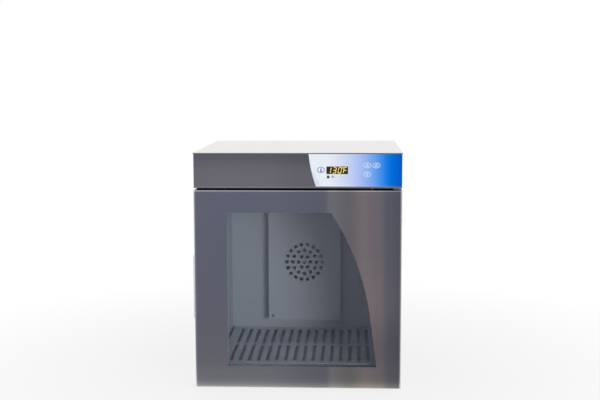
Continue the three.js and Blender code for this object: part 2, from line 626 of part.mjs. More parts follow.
// Chamber: air duct, fan and heater
function makeDuctCover() {
  const pan = block(-HALF_DUCT, HALF_DUCT, DUCT_FRONT, DUCT_BACK, DUCT_BOTTOM, DUCT_TOP);
  const hollow = block(
    -HALF_DUCT + LINER_SHEET, HALF_DUCT - LINER_SHEET, DUCT_FRONT + LINER_SHEET, DUCT_BACK + OVERCUT,
    DUCT_BOTTOM + LINER_SHEET, DUCT_TOP - LINER_SHEET);
  const holeFront = DUCT_FRONT - OVERCUT;
  const holeBack = DUCT_FRONT + LINER_SHEET + OVERCUT;
  const intake = [rodY(INTAKE_RADIUS, 0, FAN_Z, holeFront, holeBack, SMALL_SIDES)];
  for (let ring = 1; ring <= INTAKE_RINGS; ring += 1) {
    const count = INTAKE_RING_HOLES * ring;
    for (let hole = 0; hole < count; hole += 1) {
      const angle = (hole / count) * 2 * Math.PI;
      const x = ring * INTAKE_PITCH * Math.cos(angle);
      const z = FAN_Z + ring * INTAKE_PITCH * Math.sin(angle);
      intake.push(rodY(INTAKE_RADIUS, x, z, holeFront, holeBack, SMALL_SIDES));
    }
  }
  const outletPitch = (DUCT_TOP - DUCT_BOTTOM) / OUTLET_COUNT;
  const outletY = (DUCT_FRONT + DUCT_BACK) / 2;
  const outlets = [];
  for (let slot = 0; slot < OUTLET_COUNT; slot += 1) {
    const z = DUCT_BOTTOM + (slot + 0.5) * outletPitch;
    outlets.push(block(
      -HALF_DUCT - OVERCUT, HALF_DUCT + OVERCUT, outletY - OUTLET_DEPTH / 2, outletY + OUTLET_DEPTH / 2,
      z - OUTLET_HEIGHT / 2, z + OUTLET_HEIGHT / 2));
  }
  return cut(pan, hollow, ...intake, ...outlets);
}

function makeImpeller() {
  const back = FAN_BACK - FAN_FRONT;
  const disc = rodY(IMPELLER_RADIUS, 0, 0, back - BLADE_SHEET, back);
  const hub = rodY(HUB_RADIUS, 0, 0, 0, back);
  const blades = [];
  for (let blade = 0; blade < BLADE_COUNT; blade += 1) {
    const length = IMPELLER_RADIUS * Math.cos(BLADE_LEAN) - HUB_RADIUS;
    blades.push(block(0, length, 0, back - BLADE_SHEET / 2, -BLADE_SHEET / 2, BLADE_SHEET / 2)
      .rotateY(BLADE_LEAN)
      .translate(HUB_RADIUS, 0, 0)
      .rotateY((blade / BLADE_COUNT) * 2 * Math.PI));
  }
  const bore = rodY(SHAFT_RADIUS + FIT, 0, 0, -OVERCUT, back + OVERCUT);
  return cut(join(disc, hub, ...blades), bore);
}

function addFan(group) {
  const fan = new THREE.Group();
  fan.position.set(0, FAN_FRONT, FAN_Z);
  group.add(fan);
  const shaftEnd = SEAT_REAR + SHAFT_SEAT - FIT - FAN_FRONT;
  piece(fan, 'fan_impeller', makeImpeller(), plainSteel);
  piece(fan, 'fan_shaft', rodY(SHAFT_RADIUS, 0, 0, 0, shaftEnd), plainSteel);
}

function makeMotor() {
  const bore = SHAFT_RADIUS + FIT;
  const profile = [
    [0, SHAFT_SEAT],
    [bore, SHAFT_SEAT],
    [bore, 0],
    [MOTOR_RIM, 0],
    [MOTOR_RIM, MOTOR_FLANGE_SHEET],
    [MOTOR_RADIUS, MOTOR_FLANGE_SHEET],
    [MOTOR_RADIUS, MOTOR_LENGTH],
    [0, MOTOR_LENGTH],
  ];
  return turned(profile);
}

// The heater's path: up one leg, round the ring and back along the other leg.
function heaterPath() {
  const halfRing = [];
  const tail = LINER_REAR + HEATER_TAIL;
  halfRing.push(new THREE.Vector3(LEG_X, tail, LEG_Z));
  halfRing.push(new THREE.Vector3(LEG_X, (tail + HEATER_PLANE + HEATER_BEND) / 2, LEG_Z));
  for (let step = 0; step < LEG_BEND_POINTS; step += 1) {
    const turn = (step / LEG_BEND_POINTS) * (Math.PI / 2);
    const along = HEATER_BEND * (1 - Math.cos(turn));
    halfRing.push(new THREE.Vector3(
      LEG_X + along * Math.cos(HEATER_LEG_ANGLE),
      HEATER_PLANE + HEATER_BEND * (1 - Math.sin(turn)),
      LEG_Z + along * Math.sin(HEATER_LEG_ANGLE)));
  }
  for (let step = 0; step < HALF_RING_POINTS; step += 1) {
    const angle = HEATER_LEG_ANGLE + (step / HALF_RING_POINTS) * (Math.PI - HEATER_LEG_ANGLE);
    halfRing.push(new THREE.Vector3(
      HEATER_RING * Math.sin(angle), HEATER_PLANE, FAN_Z - HEATER_RING * Math.cos(angle)));
  }
  const top = new THREE.Vector3(0, HEATER_PLANE, FAN_Z + HEATER_RING);
  const otherHalf = halfRing.map((point) => new THREE.Vector3(-point.x, point.y, point.z)).reverse();
  return new THREE.CatmullRomCurve3([...halfRing, top, ...otherHalf]);
}

function makeHeater() {
  const section = new THREE.Shape().absarc(0, 0, HEATER_RADIUS, 0, 2 * Math.PI);
  return new THREE.ExtrudeGeometry(section, {
    steps: HEATER_STEPS,
    curveSegments: TUBE_SIDES / ARC_POINTS,
    extrudePath: heaterPath(),
  });
}

function makeHeaterFlange() {
  const halfWidth = LEG_X + HEATER_RADIUS + HEATER_FLANGE_BORDER;
  const halfHeight = HEATER_RADIUS + HEATER_FLANGE_BORDER;
  const outline = rectangle(-halfWidth, halfWidth, LEG_Z - halfHeight, LEG_Z + halfHeight);
  outline.holes.push(circle(-LEG_X, LEG_Z, LEG_HOLE));
  outline.holes.push(circle(LEG_X, LEG_Z, LEG_HOLE));
  return frontPlate(outline, SEAT_REAR, SEAT_REAR + HEATER_FLANGE);
}

function makeProbe() {
  const stem = rodY(PROBE_RADIUS, PROBE_X, PROBE_Z, LINER_BACK - PROBE_REACH, SEAT_REAR + PROBE_TAIL);
  const collar = rodY(PROBE_COLLAR_RADIUS, PROBE_X, PROBE_Z, SEAT_REAR, SEAT_REAR + PROBE_COLLAR, HEX_SIDES);
  return join(stem, collar);
}

function addHeating(group) {
  piece(group, 'duct_cover', makeDuctCover(), linerSteel);
  piece(group, 'fan_motor', makeMotor(), paintedHousing).position.set(0, SEAT_REAR, FAN_Z);
  piece(group, 'heater_element', makeHeater(), heaterSheath);
  piece(group, 'heater_flange', makeHeaterFlange(), plainSteel);
  piece(group, 'temp_probe', makeProbe(), plainSteel);
  const thermostat = rodY(THERMOSTAT_RADIUS, THERMOSTAT_X, FAN_Z, SEAT_REAR, SEAT_REAR + THERMOSTAT_HEIGHT);
  piece(group, 'limit_thermostat', thermostat, moulding);
}

// Control head: fascia, overlay, keys and board
function makeFascia() {
  const above = PANEL_TOP + FASCIA_BEND + SHEET;
  const sheet = foldedBlock(
    -HALF_BODY, HALF_BODY, FASCIA_FRONT, FASCIA_FRONT + FASCIA_RETURN, HEAD_BOTTOM, above, FASCIA_BEND);
  const hollow = foldedBlock(
    -HALF_BODY + SHEET, HALF_BODY - SHEET, FASCIA_BACK, FASCIA_FRONT + FASCIA_RETURN + OVERCUT,
    HEAD_BOTTOM + SHEET, above - SHEET, FASCIA_INNER_BEND);
  const overTop = block(
    -HALF_BODY - OVERCUT, HALF_BODY + OVERCUT, FASCIA_FRONT - OVERCUT, FASCIA_FRONT + FASCIA_RETURN + OVERCUT,
    PANEL_TOP, above + OVERCUT);
  const lensHole = block(
    DISPLAY_X - DISPLAY_WIDTH / 2 - FIT, DISPLAY_X + DISPLAY_WIDTH / 2 + FIT,
    FASCIA_FRONT - OVERCUT, FASCIA_BACK + OVERCUT,
    DISPLAY_Z - DISPLAY_HEIGHT / 2 - FIT, DISPLAY_Z + DISPLAY_HEIGHT / 2 + FIT);
  const keyHoles = keyOutlines().map((outline) => frontPlate(
    outline, FASCIA_FRONT - OVERCUT, FASCIA_BACK + OVERCUT));
  const studs = boardStuds().flatMap(([x, z]) => [
    rodY(STUD_SHOULDER, x, z, FASCIA_BACK - SHEET / 2, BOARD_FRONT - FIT, SMALL_SIDES),
    rodY(STUD_RADIUS, x, z, FASCIA_BACK, BOARD_BACK + STUD_TAIL, SMALL_SIDES),
  ]);
  return join(cut(sheet, hollow, overTop, lensHole, ...keyHoles), ...studs);
}

// The holes that the keys move in.
function keyOutlines() {
  return Object.values(KEY_PLACES).map(([x, z]) => oval(x, z, KEY_HALF_WIDTH + FIT, KEY_HALF_HEIGHT + FIT));
}

function boardStuds() {
  const { left, right, bottom, top } = BOARD_EDGES;
  const heights = [bottom + STUD_INSET, top - STUD_INSET];
  return [left + STUD_INSET, right - STUD_INSET].flatMap((x) => heights.map((z) => [x, z]));
}

function makeOverlay() {
  const corner = OVERLAY_CORNER;
  const outline = new THREE.Shape();
  outline.moveTo(OVERLAY_RIGHT - OVERLAY_BOTTOM_WIDTH, OVERLAY_BOTTOM);
  outline.lineTo(OVERLAY_RIGHT - corner, OVERLAY_BOTTOM);
  arcTo(outline, [OVERLAY_RIGHT, OVERLAY_BOTTOM + corner], corner, false);
  outline.lineTo(OVERLAY_RIGHT, OVERLAY_TOP - corner);
  arcTo(outline, [OVERLAY_RIGHT - corner, OVERLAY_TOP], corner, false);
  outline.lineTo(OVERLAY_RIGHT - OVERLAY_TOP_WIDTH, OVERLAY_TOP);
  arcTo(outline, [OVERLAY_RIGHT - OVERLAY_BOTTOM_WIDTH, OVERLAY_BOTTOM], OVERLAY_ARC_RADIUS, false);
  const halfWidth = DISPLAY_WIDTH / 2 + FIT;
  const halfHeight = DISPLAY_HEIGHT / 2 + FIT;
  outline.holes.push(rectangle(
    DISPLAY_X - halfWidth, DISPLAY_X + halfWidth, DISPLAY_Z - halfHeight, DISPLAY_Z + halfHeight));
  outline.holes.push(...keyOutlines());
  return frontPlate(outline, OVERLAY_FRONT, OVERLAY_BACK);
}

// An oval cap, turned round and then drawn in to its height, on a round stem.
function makeKey() {
  const front = OVERLAY_FRONT - KEY_PROUD;
  const rim = KEY_HALF_WIDTH + KEY_FLANGE;
  const flangeBack = KEY_FLANGE_FRONT + KEY_FLANGE_SHEET;
  const profile = [
    [0, front],
    [KEY_HALF_WIDTH - KEY_CHAMFER, front],
    [KEY_HALF_WIDTH, front + KEY_CHAMFER],
    [KEY_HALF_WIDTH, KEY_FLANGE_FRONT],
    [rim, KEY_FLANGE_FRONT],
    [rim, flangeBack],
    [0, flangeBack],
  ];
  const cap = turned(profile).scale(1, 1, KEY_HALF_HEIGHT / KEY_HALF_WIDTH);
  const stem = rodY(KEY_STEM_RADIUS, 0, 0, flangeBack - KEY_FLANGE_SHEET / 2, KEY_END);
  return join(cap, stem);
}

function makeBoard() {
  const { left, right, bottom, top } = BOARD_EDGES;
  const board = block(left, right, BOARD_FRONT, BOARD_BACK, bottom, top);
  const seat = BOARD_FRONT + BOARD / 2;
  const display = block(
    DISPLAY_X - DISPLAY_WIDTH / 2, DISPLAY_X + DISPLAY_WIDTH / 2, FASCIA_BACK + FIT, seat,
    DISPLAY_Z - DISPLAY_HEIGHT / 2, DISPLAY_Z + DISPLAY_HEIGHT / 2);
  const half = SWITCH_SIZE / 2;
  const switches = Object.values(KEY_PLACES).map(([x, z]) => block(
    x - half, x + half, SWITCH_FRONT, seat, z - half, z + half));
  const holes = boardStuds().map(([x, z]) => rodY(
    STUD_RADIUS + FIT, x, z, BOARD_FRONT - OVERCUT, BOARD_BACK + OVERCUT, SMALL_SIDES));
  return cut(join(board, display, ...switches), ...holes);
}

function makeSupply() {
  const x0 = -HALF_INSIDE + SUPPLY_INSET;
  const y1 = REAR_LIMIT - SUPPLY_INSET;
  const z0 = HEAD_BOTTOM + SHEET + FIT;
  const box = block(x0, x0 + SUPPLY_LENGTH, y1 - SUPPLY_WIDTH, y1, z0, z0 + SUPPLY_HEIGHT);
  const ears = block(
    x0 - SUPPLY_EAR, x0 + SUPPLY_LENGTH + SUPPLY_EAR, y1 - SUPPLY_WIDTH, y1, z0, z0 + SUPPLY_EAR_SHEET);
  return join(box, ears);
}

function makeInlet() {
  const halfWidth = INLET_WIDTH / 2;
  const halfHeight = INLET_HEIGHT / 2;
  const seat = REAR_FRONT + SHEET + FIT;
  const outer = seat + INLET_FLANGE;
  const body = block(
    INLET_X - halfWidth, INLET_X + halfWidth, outer - INLET_DEPTH, outer - INLET_FLANGE / 2,
    FASCIA_MIDDLE - halfHeight, FASCIA_MIDDLE + halfHeight);
  const flange = block(
    INLET_X - halfWidth - INLET_BORDER, INLET_X + halfWidth + INLET_BORDER, seat, outer,
    FASCIA_MIDDLE - halfHeight - INLET_BORDER, FASCIA_MIDDLE + halfHeight + INLET_BORDER);
  const socket = block(
    INLET_X - halfWidth + INLET_WALL, INLET_X + halfWidth - INLET_WALL, outer - INLET_SOCKET, outer + OVERCUT,
    FASCIA_MIDDLE - halfHeight + INLET_WALL, FASCIA_MIDDLE + halfHeight - INLET_WALL);
  return cut(join(body, flange), socket);
}

function addControlHead(group) {
  piece(group, 'fascia', makeFascia(), brushedSteel);
  piece(group, 'control_overlay', makeOverlay(), overlayFilm);
  const lens = block(
    DISPLAY_X - DISPLAY_WIDTH / 2, DISPLAY_X + DISPLAY_WIDTH / 2, OVERLAY_FRONT, FASCIA_BACK,
    DISPLAY_Z - DISPLAY_HEIGHT / 2, DISPLAY_Z + DISPLAY_HEIGHT / 2);
  piece(group, 'display_lens', lens, smokedLens);
  for (const [name, [x, z]] of Object.entries(KEY_PLACES)) {
    piece(group, name, makeKey(), keyFilm).position.set(x, 0, z);
  }
  piece(group, 'control_board', makeBoard(), circuitBoard);
  piece(group, 'power_supply', makeSupply(), paintedHousing);
  piece(group, 'power_inlet', makeInlet(), moulding);
}

// Door: skin, glazing, liner and fittings
// The window's right side leans straight up, and an arc carries on from it to the top.
function windowOutline() {
  const lean = THREE.MathUtils.degToRad(WINDOW_LEAN);
  const bend = new THREE.Vector2(
    WINDOW_RIGHT - WINDOW_STRAIGHT * Math.tan(lean), WINDOW_BOTTOM + WINDOW_STRAIGHT);
  const end = new THREE.Vector2(WINDOW_RIGHT - WINDOW_SWEEP, WINDOW_TOP);
  const chord = end.clone().sub(bend);
  const towardsCentre = new THREE.Vector2(-Math.cos(lean), -Math.sin(lean));
  const radius = chord.lengthSq() / (2 * chord.dot(towardsCentre));
  const outline = new THREE.Shape();
  outline.moveTo(WINDOW_LEFT, WINDOW_BOTTOM);
  outline.lineTo(WINDOW_RIGHT, WINDOW_BOTTOM);
  outline.lineTo(bend.x, bend.y);
  arcTo(outline, end.toArray(), radius, false);
  outline.lineTo(WINDOW_LEFT, WINDOW_TOP);
  return outline;
}

// The door's outside, or its inside when inset by the sheet: rounder beside the hinges.
function doorBlock(inset, back) {
  const side = HALF_CASE - inset;
  const front = DOOR_FRONT + inset;
  const radius = HINGE_SIDE_BEND - inset;
  const folded = foldedBlock(
    -side, side, front, back, DOOR_BOTTOM + inset, DOOR_TOP - inset, BEND_RADIUS - inset);
  const corner = new THREE.Shape();
  corner.moveTo(side - radius, front);
  arcTo(corner, [side, front + radius], radius, false);
  corner.lineTo(side + OVERCUT, front + radius);
  corner.lineTo(side + OVERCUT, front - OVERCUT);
  corner.lineTo(side - radius, front - OVERCUT);
  return cut(folded, upright(corner, DOOR_BOTTOM, DOOR_TOP));
}

function makeDoorSkin() {
  const sheet = doorBlock(0, DOOR_BACK);
  const hollow = doorBlock(SHEET, DOOR_BACK + OVERCUT);
  const opening = frontPlate(windowOutline(), DOOR_FRONT - OVERCUT, DOOR_FRONT + SHEET + OVERCUT);
  const hinges = rodZ(BUSH_RADIUS + FIT, HINGE_X, HINGE_Y, DOOR_BOTTOM - OVERCUT, DOOR_TOP + OVERCUT);
  const screws = [-SCREW_X, SCREW_X].map((x) => rodZ(
    SCREW_RADIUS + FIT, x, SCREW_Y, DOOR_TOP - SHEET - OVERCUT, DOOR_TOP + OVERCUT, SMALL_SIDES));
  return cut(sheet, hollow, opening, hinges, ...screws);
}

function makeDoorLiner() {
  const side = HALF_CASE - SHEET - FIT;
  const bottom = DOOR_BOTTOM + SHEET + FIT;
  const top = DOOR_TOP - SHEET - FIT;
  const front = DOOR_BACK - SHEET - DOOR_LINER_FLANGE;
  const pan = block(-side, side, front, DOOR_BACK, bottom, top);
  const hollow = block(
    -side + SHEET, side - SHEET, front - OVERCUT, DOOR_BACK - SHEET, bottom + SHEET, top - SHEET);
  const opening = block(
    PANE.left + LINER_LAP, PANE.right - LINER_LAP, front - OVERCUT, DOOR_BACK + OVERCUT,
    PANE.bottom + LINER_LAP, PANE.top - LINER_LAP);
  const screws = [-SCREW_X, SCREW_X].map((x) => rodZ(
    SCREW_RADIUS + FIT, x, SCREW_Y, top - SHEET - OVERCUT, top + OVERCUT, SMALL_SIDES));
  return cut(pan, hollow, opening, ...screws);
}

function makeWindowFrame() {
  const outline = rectangle(PANE.left, PANE.right, PANE.bottom, PANE.top);
  outline.holes.push(rectangle(
    PANE.left + WINDOW_RAIL, PANE.right - WINDOW_RAIL, PANE.bottom + WINDOW_RAIL, PANE.top - WINDOW_RAIL));
  return frontPlate(outline, OUTER_PANE_BACK + FIT, INNER_PANE_FRONT - FIT);
}

function makeDoorInsulation() {
  const side = HALF_CASE - DOOR_FILL_INSET;
  const bottom = DOOR_BOTTOM + DOOR_FILL_INSET;
  const top = DOOR_TOP - DOOR_FILL_INSET;
  const fill = block(-side, side, OUTER_PANE_FRONT, INNER_PANE_BACK, bottom, top);
  const glazing = block(
    PANE.left - FIT, PANE.right + FIT, DOOR_FRONT, DOOR_BACK, PANE.bottom - FIT, PANE.top + FIT);
  const pocketIn = HINGE_X - BUSH_RIM - CUT_MARGIN;
  const pocketDepth = SHEET + FIT + BUSH_LENGTH + CUT_MARGIN;
  const pockets = [[bottom - OVERCUT, DOOR_BOTTOM + pocketDepth], [DOOR_TOP - pocketDepth, top + OVERCUT]]
    .map(([z0, z1]) => block(pocketIn, side + OVERCUT, DOOR_FRONT, DOOR_BACK, z0, z1));
  return cut(fill, glazing, ...pockets);
}

function makeGasket() {
  const inner = GASKET_OFFSET;
  const outer = GASKET_OFFSET + GASKET_WIDTH;
  const outline = rectangle(
    -HALF_CHAMBER - outer, HALF_CHAMBER + outer, CHAMBER_FLOOR - outer, CHAMBER_CEILING + outer);
  outline.holes.push(rectangle(
    -HALF_CHAMBER - inner, HALF_CHAMBER + inner, CHAMBER_FLOOR - inner, CHAMBER_CEILING + inner));
  return frontPlate(outline, DOOR_BACK + FIT, BODY_FRONT - FIT);
}

function makePull() {
  const seat = -HALF_CASE - FIT;
  const tip = -HALF_CASE - PULL_PROJECTION;
  const front = DOOR_FRONT + PULL_SETBACK;
  const tipFront = front + seat - tip; // the lip leans back as far as it stands out
  const slantedSheet = PULL_SHEET * Math.SQRT2;
  const outline = polygon([
    [seat, front],
    [seat, front + PULL_LEAF],
    [seat - PULL_SHEET, front + PULL_LEAF],
    [seat - PULL_SHEET, front + PULL_SHEET + slantedSheet],
    [tip, tipFront + slantedSheet],
    [tip, tipFront],
  ]);
  return upright(outline, DOOR_MIDDLE - PULL_LENGTH / 2, DOOR_MIDDLE + PULL_LENGTH / 2);
}

function makeDoorScrew(x) {
  const shank = rodZ(SCREW_RADIUS, x, SCREW_Y, DOOR_TOP - BEND_RADIUS, DOOR_TOP + SCREW_HEAD, SMALL_SIDES);
  const head = rodZ(SCREW_HEAD_RADIUS, x, SCREW_Y, DOOR_TOP + FIT, DOOR_TOP + SCREW_HEAD, SMALL_SIDES);
  return join(shank, head);
}

function addDoor(group) {
  piece(group, 'door_skin', makeDoorSkin(), brushedSteel);
  piece(group, 'door_liner', makeDoorLiner(), linerSteel);
  const outerPane = block(PANE.left, PANE.right, OUTER_PANE_FRONT, OUTER_PANE_BACK, PANE.bottom, PANE.top);
  const innerPane = block(PANE.left, PANE.right, INNER_PANE_FRONT, INNER_PANE_BACK, PANE.bottom, PANE.top);
  piece(group, 'glass_outer', outerPane, windowGlass);
  piece(group, 'glass_inner', innerPane, windowGlass);
  piece(group, 'window_frame', makeWindowFrame(), linerSteel);
  piece(group, 'door_insulation', makeDoorInsulation(), mineralWool);
  piece(group, 'door_gasket', makeGasket(), gasketRubber);
  piece(group, 'edge_pull', makePull(), brushedSteel);
  piece(group, 'door_screw_left', makeDoorScrew(-SCREW_X), plainSteel);
  piece(group, 'door_screw_right', makeDoorScrew(SCREW_X), plainSteel);
}

// Hinges and magnetic catches. A hinge part is made for the door's top edge and mirrored for the bottom.
function atDoorEdge(geometry, isTop) {
  if (isTop) {
    return geometry.translate(0, 0, DOOR_TOP);
  }
  return geometry.rotateY(Math.PI).translate(2 * HINGE_X, 0, DOOR_BOTTOM);
}

function makeHingeBracket() {
  const x0 = HINGE_X - HINGE_HALF_WIDTH;
  const x1 = HINGE_X + HINGE_HALF_WIDTH;
  const seat = BODY_FRONT - FIT;
  const leafTop = HINGE_CLEARANCE + HINGE_LEAF;
  const leaf = block(x0, x1, HINGE_Y - HINGE_NOSE, seat, HINGE_CLEARANCE, leafTop);
  const foot = block(x0, x1, seat - HINGE_FOOT_SHEET, seat, -HINGE_FOOT, leafTop);
  const hole = rodZ(PIN_RADIUS + FIT, HINGE_X, HINGE_Y, HINGE_CLEARANCE - OVERCUT, leafTop + OVERCUT);
  const recess = rodZ(PIN_HEAD_RADIUS + FIT, HINGE_X, HINGE_Y, leafTop - PIN_HEAD - FIT, leafTop + OVERCUT);
  return cut(join(leaf, foot), hole, recess);
}

function makeHingePin() {
  const headTop = HINGE_CLEARANCE + HINGE_LEAF;
  const stem = rodZ(PIN_RADIUS, HINGE_X, HINGE_Y, -PIN_REACH, headTop);
  const head = rodZ(PIN_HEAD_RADIUS, HINGE_X, HINGE_Y, headTop - PIN_HEAD, headTop);
  return join(stem, head);
}

function makeHingeBush() {
  const flangeTop = -SHEET - FIT;
  const bottom = flangeTop - BUSH_LENGTH;
  const tube = rodZ(BUSH_RADIUS, HINGE_X, HINGE_Y, bottom, HINGE_CLEARANCE - FIT);
  const flange = rodZ(BUSH_RIM, HINGE_X, HINGE_Y, flangeTop - BUSH_FLANGE, flangeTop);
  const bore = rodZ(BUSH_BORE, HINGE_X, HINGE_Y, bottom - OVERCUT, HINGE_CLEARANCE + OVERCUT);
  return cut(join(tube, flange), bore);
}

function addHinges(caseGroup, doorGroup) {
  for (const edge of ['top', 'bottom']) {
    const isTop = edge === 'top';
    piece(caseGroup, `hinge_bracket_${edge}`, atDoorEdge(makeHingeBracket(), isTop), plainSteel);
    piece(caseGroup, `hinge_pin_${edge}`, atDoorEdge(makeHingePin(), isTop), plainSteel);
    piece(doorGroup, `hinge_bush_${edge}`, atDoorEdge(makeHingeBush(), isTop), bronze);
  }
}

function addCatches(caseGroup, doorGroup) {
  const halfWidth = MAGNET_WIDTH / 2;
  const halfHeight = MAGNET_HEIGHT / 2;
  const magnetBack = BODY_FRONT - FIT;
  const magnetFront = magnetBack - MAGNET_DEPTH;
  const places = { upper: DOOR_TOP - MAGNET_MARGIN, lower: DOOR_BOTTOM + MAGNET_MARGIN };
  for (const [level, z] of Object.entries(places)) {
    const magnet = block(
      MAGNET_X - halfWidth, MAGNET_X + halfWidth, magnetFront, magnetBack, z - halfHeight, z + halfHeight);
    const strike = block(
      MAGNET_X - halfWidth - STRIKE_BORDER, MAGNET_X + halfWidth + STRIKE_BORDER,
      DOOR_BACK + FIT, magnetFront - FIT,
      z - halfHeight - STRIKE_BORDER, z + halfHeight + STRIKE_BORDER);
    piece(caseGroup, `magnet_${level}`, magnet, magnetBlock);
    piece(doorGroup, `strike_${level}`, strike, plainSteel);
  }
}

// Assembly
const cabinet = new THREE.Group();
const door = new THREE.Group();
cabinet.add(door);
addCase(cabinet);
addLiner(cabinet);
piece(cabinet, 'floor_rack', makeFloorRack(), linerSteel);
addInsulation(cabinet);
addHeating(cabinet);
addFan(cabinet);
addControlHead(cabinet);
addDoor(door);
addHinges(cabinet, door);
addCatches(cabinet, door);

export default cabinet;
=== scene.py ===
"""The finish of a blanket warming cabinet: materials, small fittings, light and camera.

Metres, +Z up, the door faces -Y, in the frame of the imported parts.
"""

import json
import math

import bmesh
import bpy
from mathutils import Matrix, Vector


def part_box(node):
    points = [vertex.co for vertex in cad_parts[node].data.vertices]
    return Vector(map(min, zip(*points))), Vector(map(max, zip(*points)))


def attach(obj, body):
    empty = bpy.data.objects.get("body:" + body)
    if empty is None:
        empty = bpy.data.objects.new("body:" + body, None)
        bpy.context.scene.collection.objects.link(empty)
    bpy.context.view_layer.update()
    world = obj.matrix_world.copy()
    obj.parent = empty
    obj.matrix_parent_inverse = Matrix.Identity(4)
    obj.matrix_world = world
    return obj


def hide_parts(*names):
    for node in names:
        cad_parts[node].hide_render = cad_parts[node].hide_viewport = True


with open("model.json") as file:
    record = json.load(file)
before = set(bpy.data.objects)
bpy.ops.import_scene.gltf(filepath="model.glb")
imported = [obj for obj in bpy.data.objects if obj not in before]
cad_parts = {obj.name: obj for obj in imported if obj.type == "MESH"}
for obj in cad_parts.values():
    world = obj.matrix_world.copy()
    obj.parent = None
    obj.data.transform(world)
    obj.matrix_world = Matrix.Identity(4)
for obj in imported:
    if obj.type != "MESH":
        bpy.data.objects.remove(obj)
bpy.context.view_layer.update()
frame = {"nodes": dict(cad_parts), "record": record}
nodes = frame["nodes"]

MM = 0.001
FRONT = Vector((0, -1, 0))
REAR = Vector((0, 1, 0))
LEFT = Vector((-1, 0, 0))
DOWN = Vector((0, 0, -1))
WHITE = (1.0, 1.0, 1.0)

# Camera, in the photograph's frame
IMAGE_WIDTH = 600
FOCAL_PIXELS = 1045
SENSOR_MM = 36
CAMERA_PLACE = (0.1466, -3.3111, 0.9320)
CAMERA_YAW = math.radians(-2.642)
CAMERA_PITCH = math.radians(-6.664)
CAMERA_ROLL = math.radians(-0.157)

# Smooth shading of the faceted rounds
SMOOTH_ANGLE = math.radians(32)
WELD = 0.002 * MM  # corners nearer than this are one

# Steel: its colours, and the scale of its grain along each axis. The head's and the door's colours are
# lighter so that their painted reflections can darken them; the top's lighter, warmer colour is a
# painted highlight.
STEEL = (0.55, 0.555, 0.575)
HEAD_STEEL = (0.725, 0.725, 0.735)
DOOR_STEEL = (0.785, 0.795, 0.815)
TOP_STEEL_PAINTED_HIGHLIGHT = (0.70, 0.675, 0.66)
LINER_STEEL = (0.56, 0.595, 0.68)
FRONT_GRAIN = (4, 4, 420)
TOP_GRAIN = (5, 1500, 5)
LINER_GRAIN = (6, 6, 900)
LINER_FLAT_GRAIN = (900, 6, 6)
CLOUD_SHADE = 0.94  # the sheet's darker clouds, as a share of its colour
CLOUD_SHARE = 0.35

# Painted reflections across the door, and up its left and right thirds, by share of its width or height
STREAK_LEAN = 0.02  # how far the door's streaks lean from upright
STREAK_SWAY = 16 * MM
STREAK_SWAY_SCALE = (1.2, 1, 2.2)
DOOR_PAINTED_REFLECTION_STREAKS = (
    (0.00, (0.73, 0.77, 0.86)),
    (0.35, (0.73, 0.77, 0.86)),
    (0.63, (0.65, 0.67, 0.75)),
    (0.66, (0.88, 0.88, 0.87)),
    (0.75, (0.78, 0.73, 0.72)),
    (0.82, (1.00, 0.87, 0.83)),
    (0.89, (0.87, 0.79, 0.77)),
    (0.94, (0.58, 0.59, 0.65)),
    (1.00, (0.50, 0.51, 0.58)),
)
DOOR_PAINTED_REFLECTIONS_RISE_LEFT = (
    (0.00, (0.96, 0.91, 0.79)),
    (0.08, (1.00, 0.95, 0.82)),
    (0.14, (0.88, 0.83, 0.75)),
    (0.20, (0.85, 0.80, 0.75)),
    (0.45, (0.82, 0.78, 0.79)),
    (0.70, (0.80, 0.79, 0.81)),
    (0.93, (0.80, 0.81, 0.85)),
    (1.00, (0.82, 0.80, 0.82)),
)
DOOR_PAINTED_REFLECTIONS_RISE_RIGHT = (
    (0.00, (0.79, 0.785, 0.68)),
    (0.08, (0.80, 0.78, 0.72)),
    (0.20, (0.74, 0.70, 0.68)),
    (0.45, (0.96, 0.90, 0.85)),
    (0.70, (0.86, 0.85, 0.84)),
    (1.00, (0.84, 0.84, 0.84)),
)
DOOR_BEND = 8 * MM  # width of the bend at each side, which has no painted reflection

# Painted reflections across and up the head's fascia: painted shade towards its top and right, and a
# painted highlight on its lower bend
HEAD_PAINTED_REFLECTIONS_ACROSS = (
    (0.00, (0.97, 0.96, 0.98)),
    (0.15, (1.00, 1.00, 1.00)),
    (0.33, (0.99, 0.98, 0.98)),
    (0.53, (0.86, 0.85, 0.85)),
)
HEAD_PAINTED_REFLECTIONS_RISE = (
    (0.00, (1.00, 1.00, 0.99)),
    (0.05, (1.00, 1.00, 0.99)),
    (0.07, (0.84, 0.83, 0.85)),
    (0.41, (0.83, 0.82, 0.84)),
    (0.56, (0.79, 0.79, 0.80)),
    (0.71, (0.72, 0.70, 0.73)),
    (0.91, (0.60, 0.61, 0.65)),
)

# Control film
OVERLAY_TONES = (
    (0.00, (0.82, 0.87, 0.94)),
    (0.20, (0.82, 0.87, 0.94)),
    (0.35, (0.68, 0.73, 0.90)),
    (0.45, (0.54, 0.63, 0.89)),
    (0.57, (0.35, 0.49, 0.88)),
    (0.75, (0.07, 0.30, 0.83)),
    (0.83, (0.01, 0.20, 0.74)),
    (0.88, (0.0, 0.155, 0.69)),
    (1.00, (0.0, 0.085, 0.57)),
)
OVERLAY_PAINTED_HIGHLIGHT_HEIGHT = 4 * MM  # height of the painted highlight along the film's foot
OVERLAY_PAINTED_HIGHLIGHT = 0.40
OVERLAY_PAINTED_HIGHLIGHT_FULL = 0.3  # shares of the film's width where the painted highlight starts to fade, and ends
OVERLAY_PAINTED_HIGHLIGHT_GONE = 0.95
SWOOSH_FOOT = 70.3 * MM  # the swoosh's edge on the film's foot
SWOOSH_SLOPE = 0.76
SWOOSH_CURVE = 5.2
SWOOSH_EDGE = 1.5 * MM
SWOOSH_TONE = (0.66, 0.73, 0.93)
KEY_PALE = (0.85, 0.92, 1.0)
KEY_PALER = 0.04  # how far the keys are paler than the film

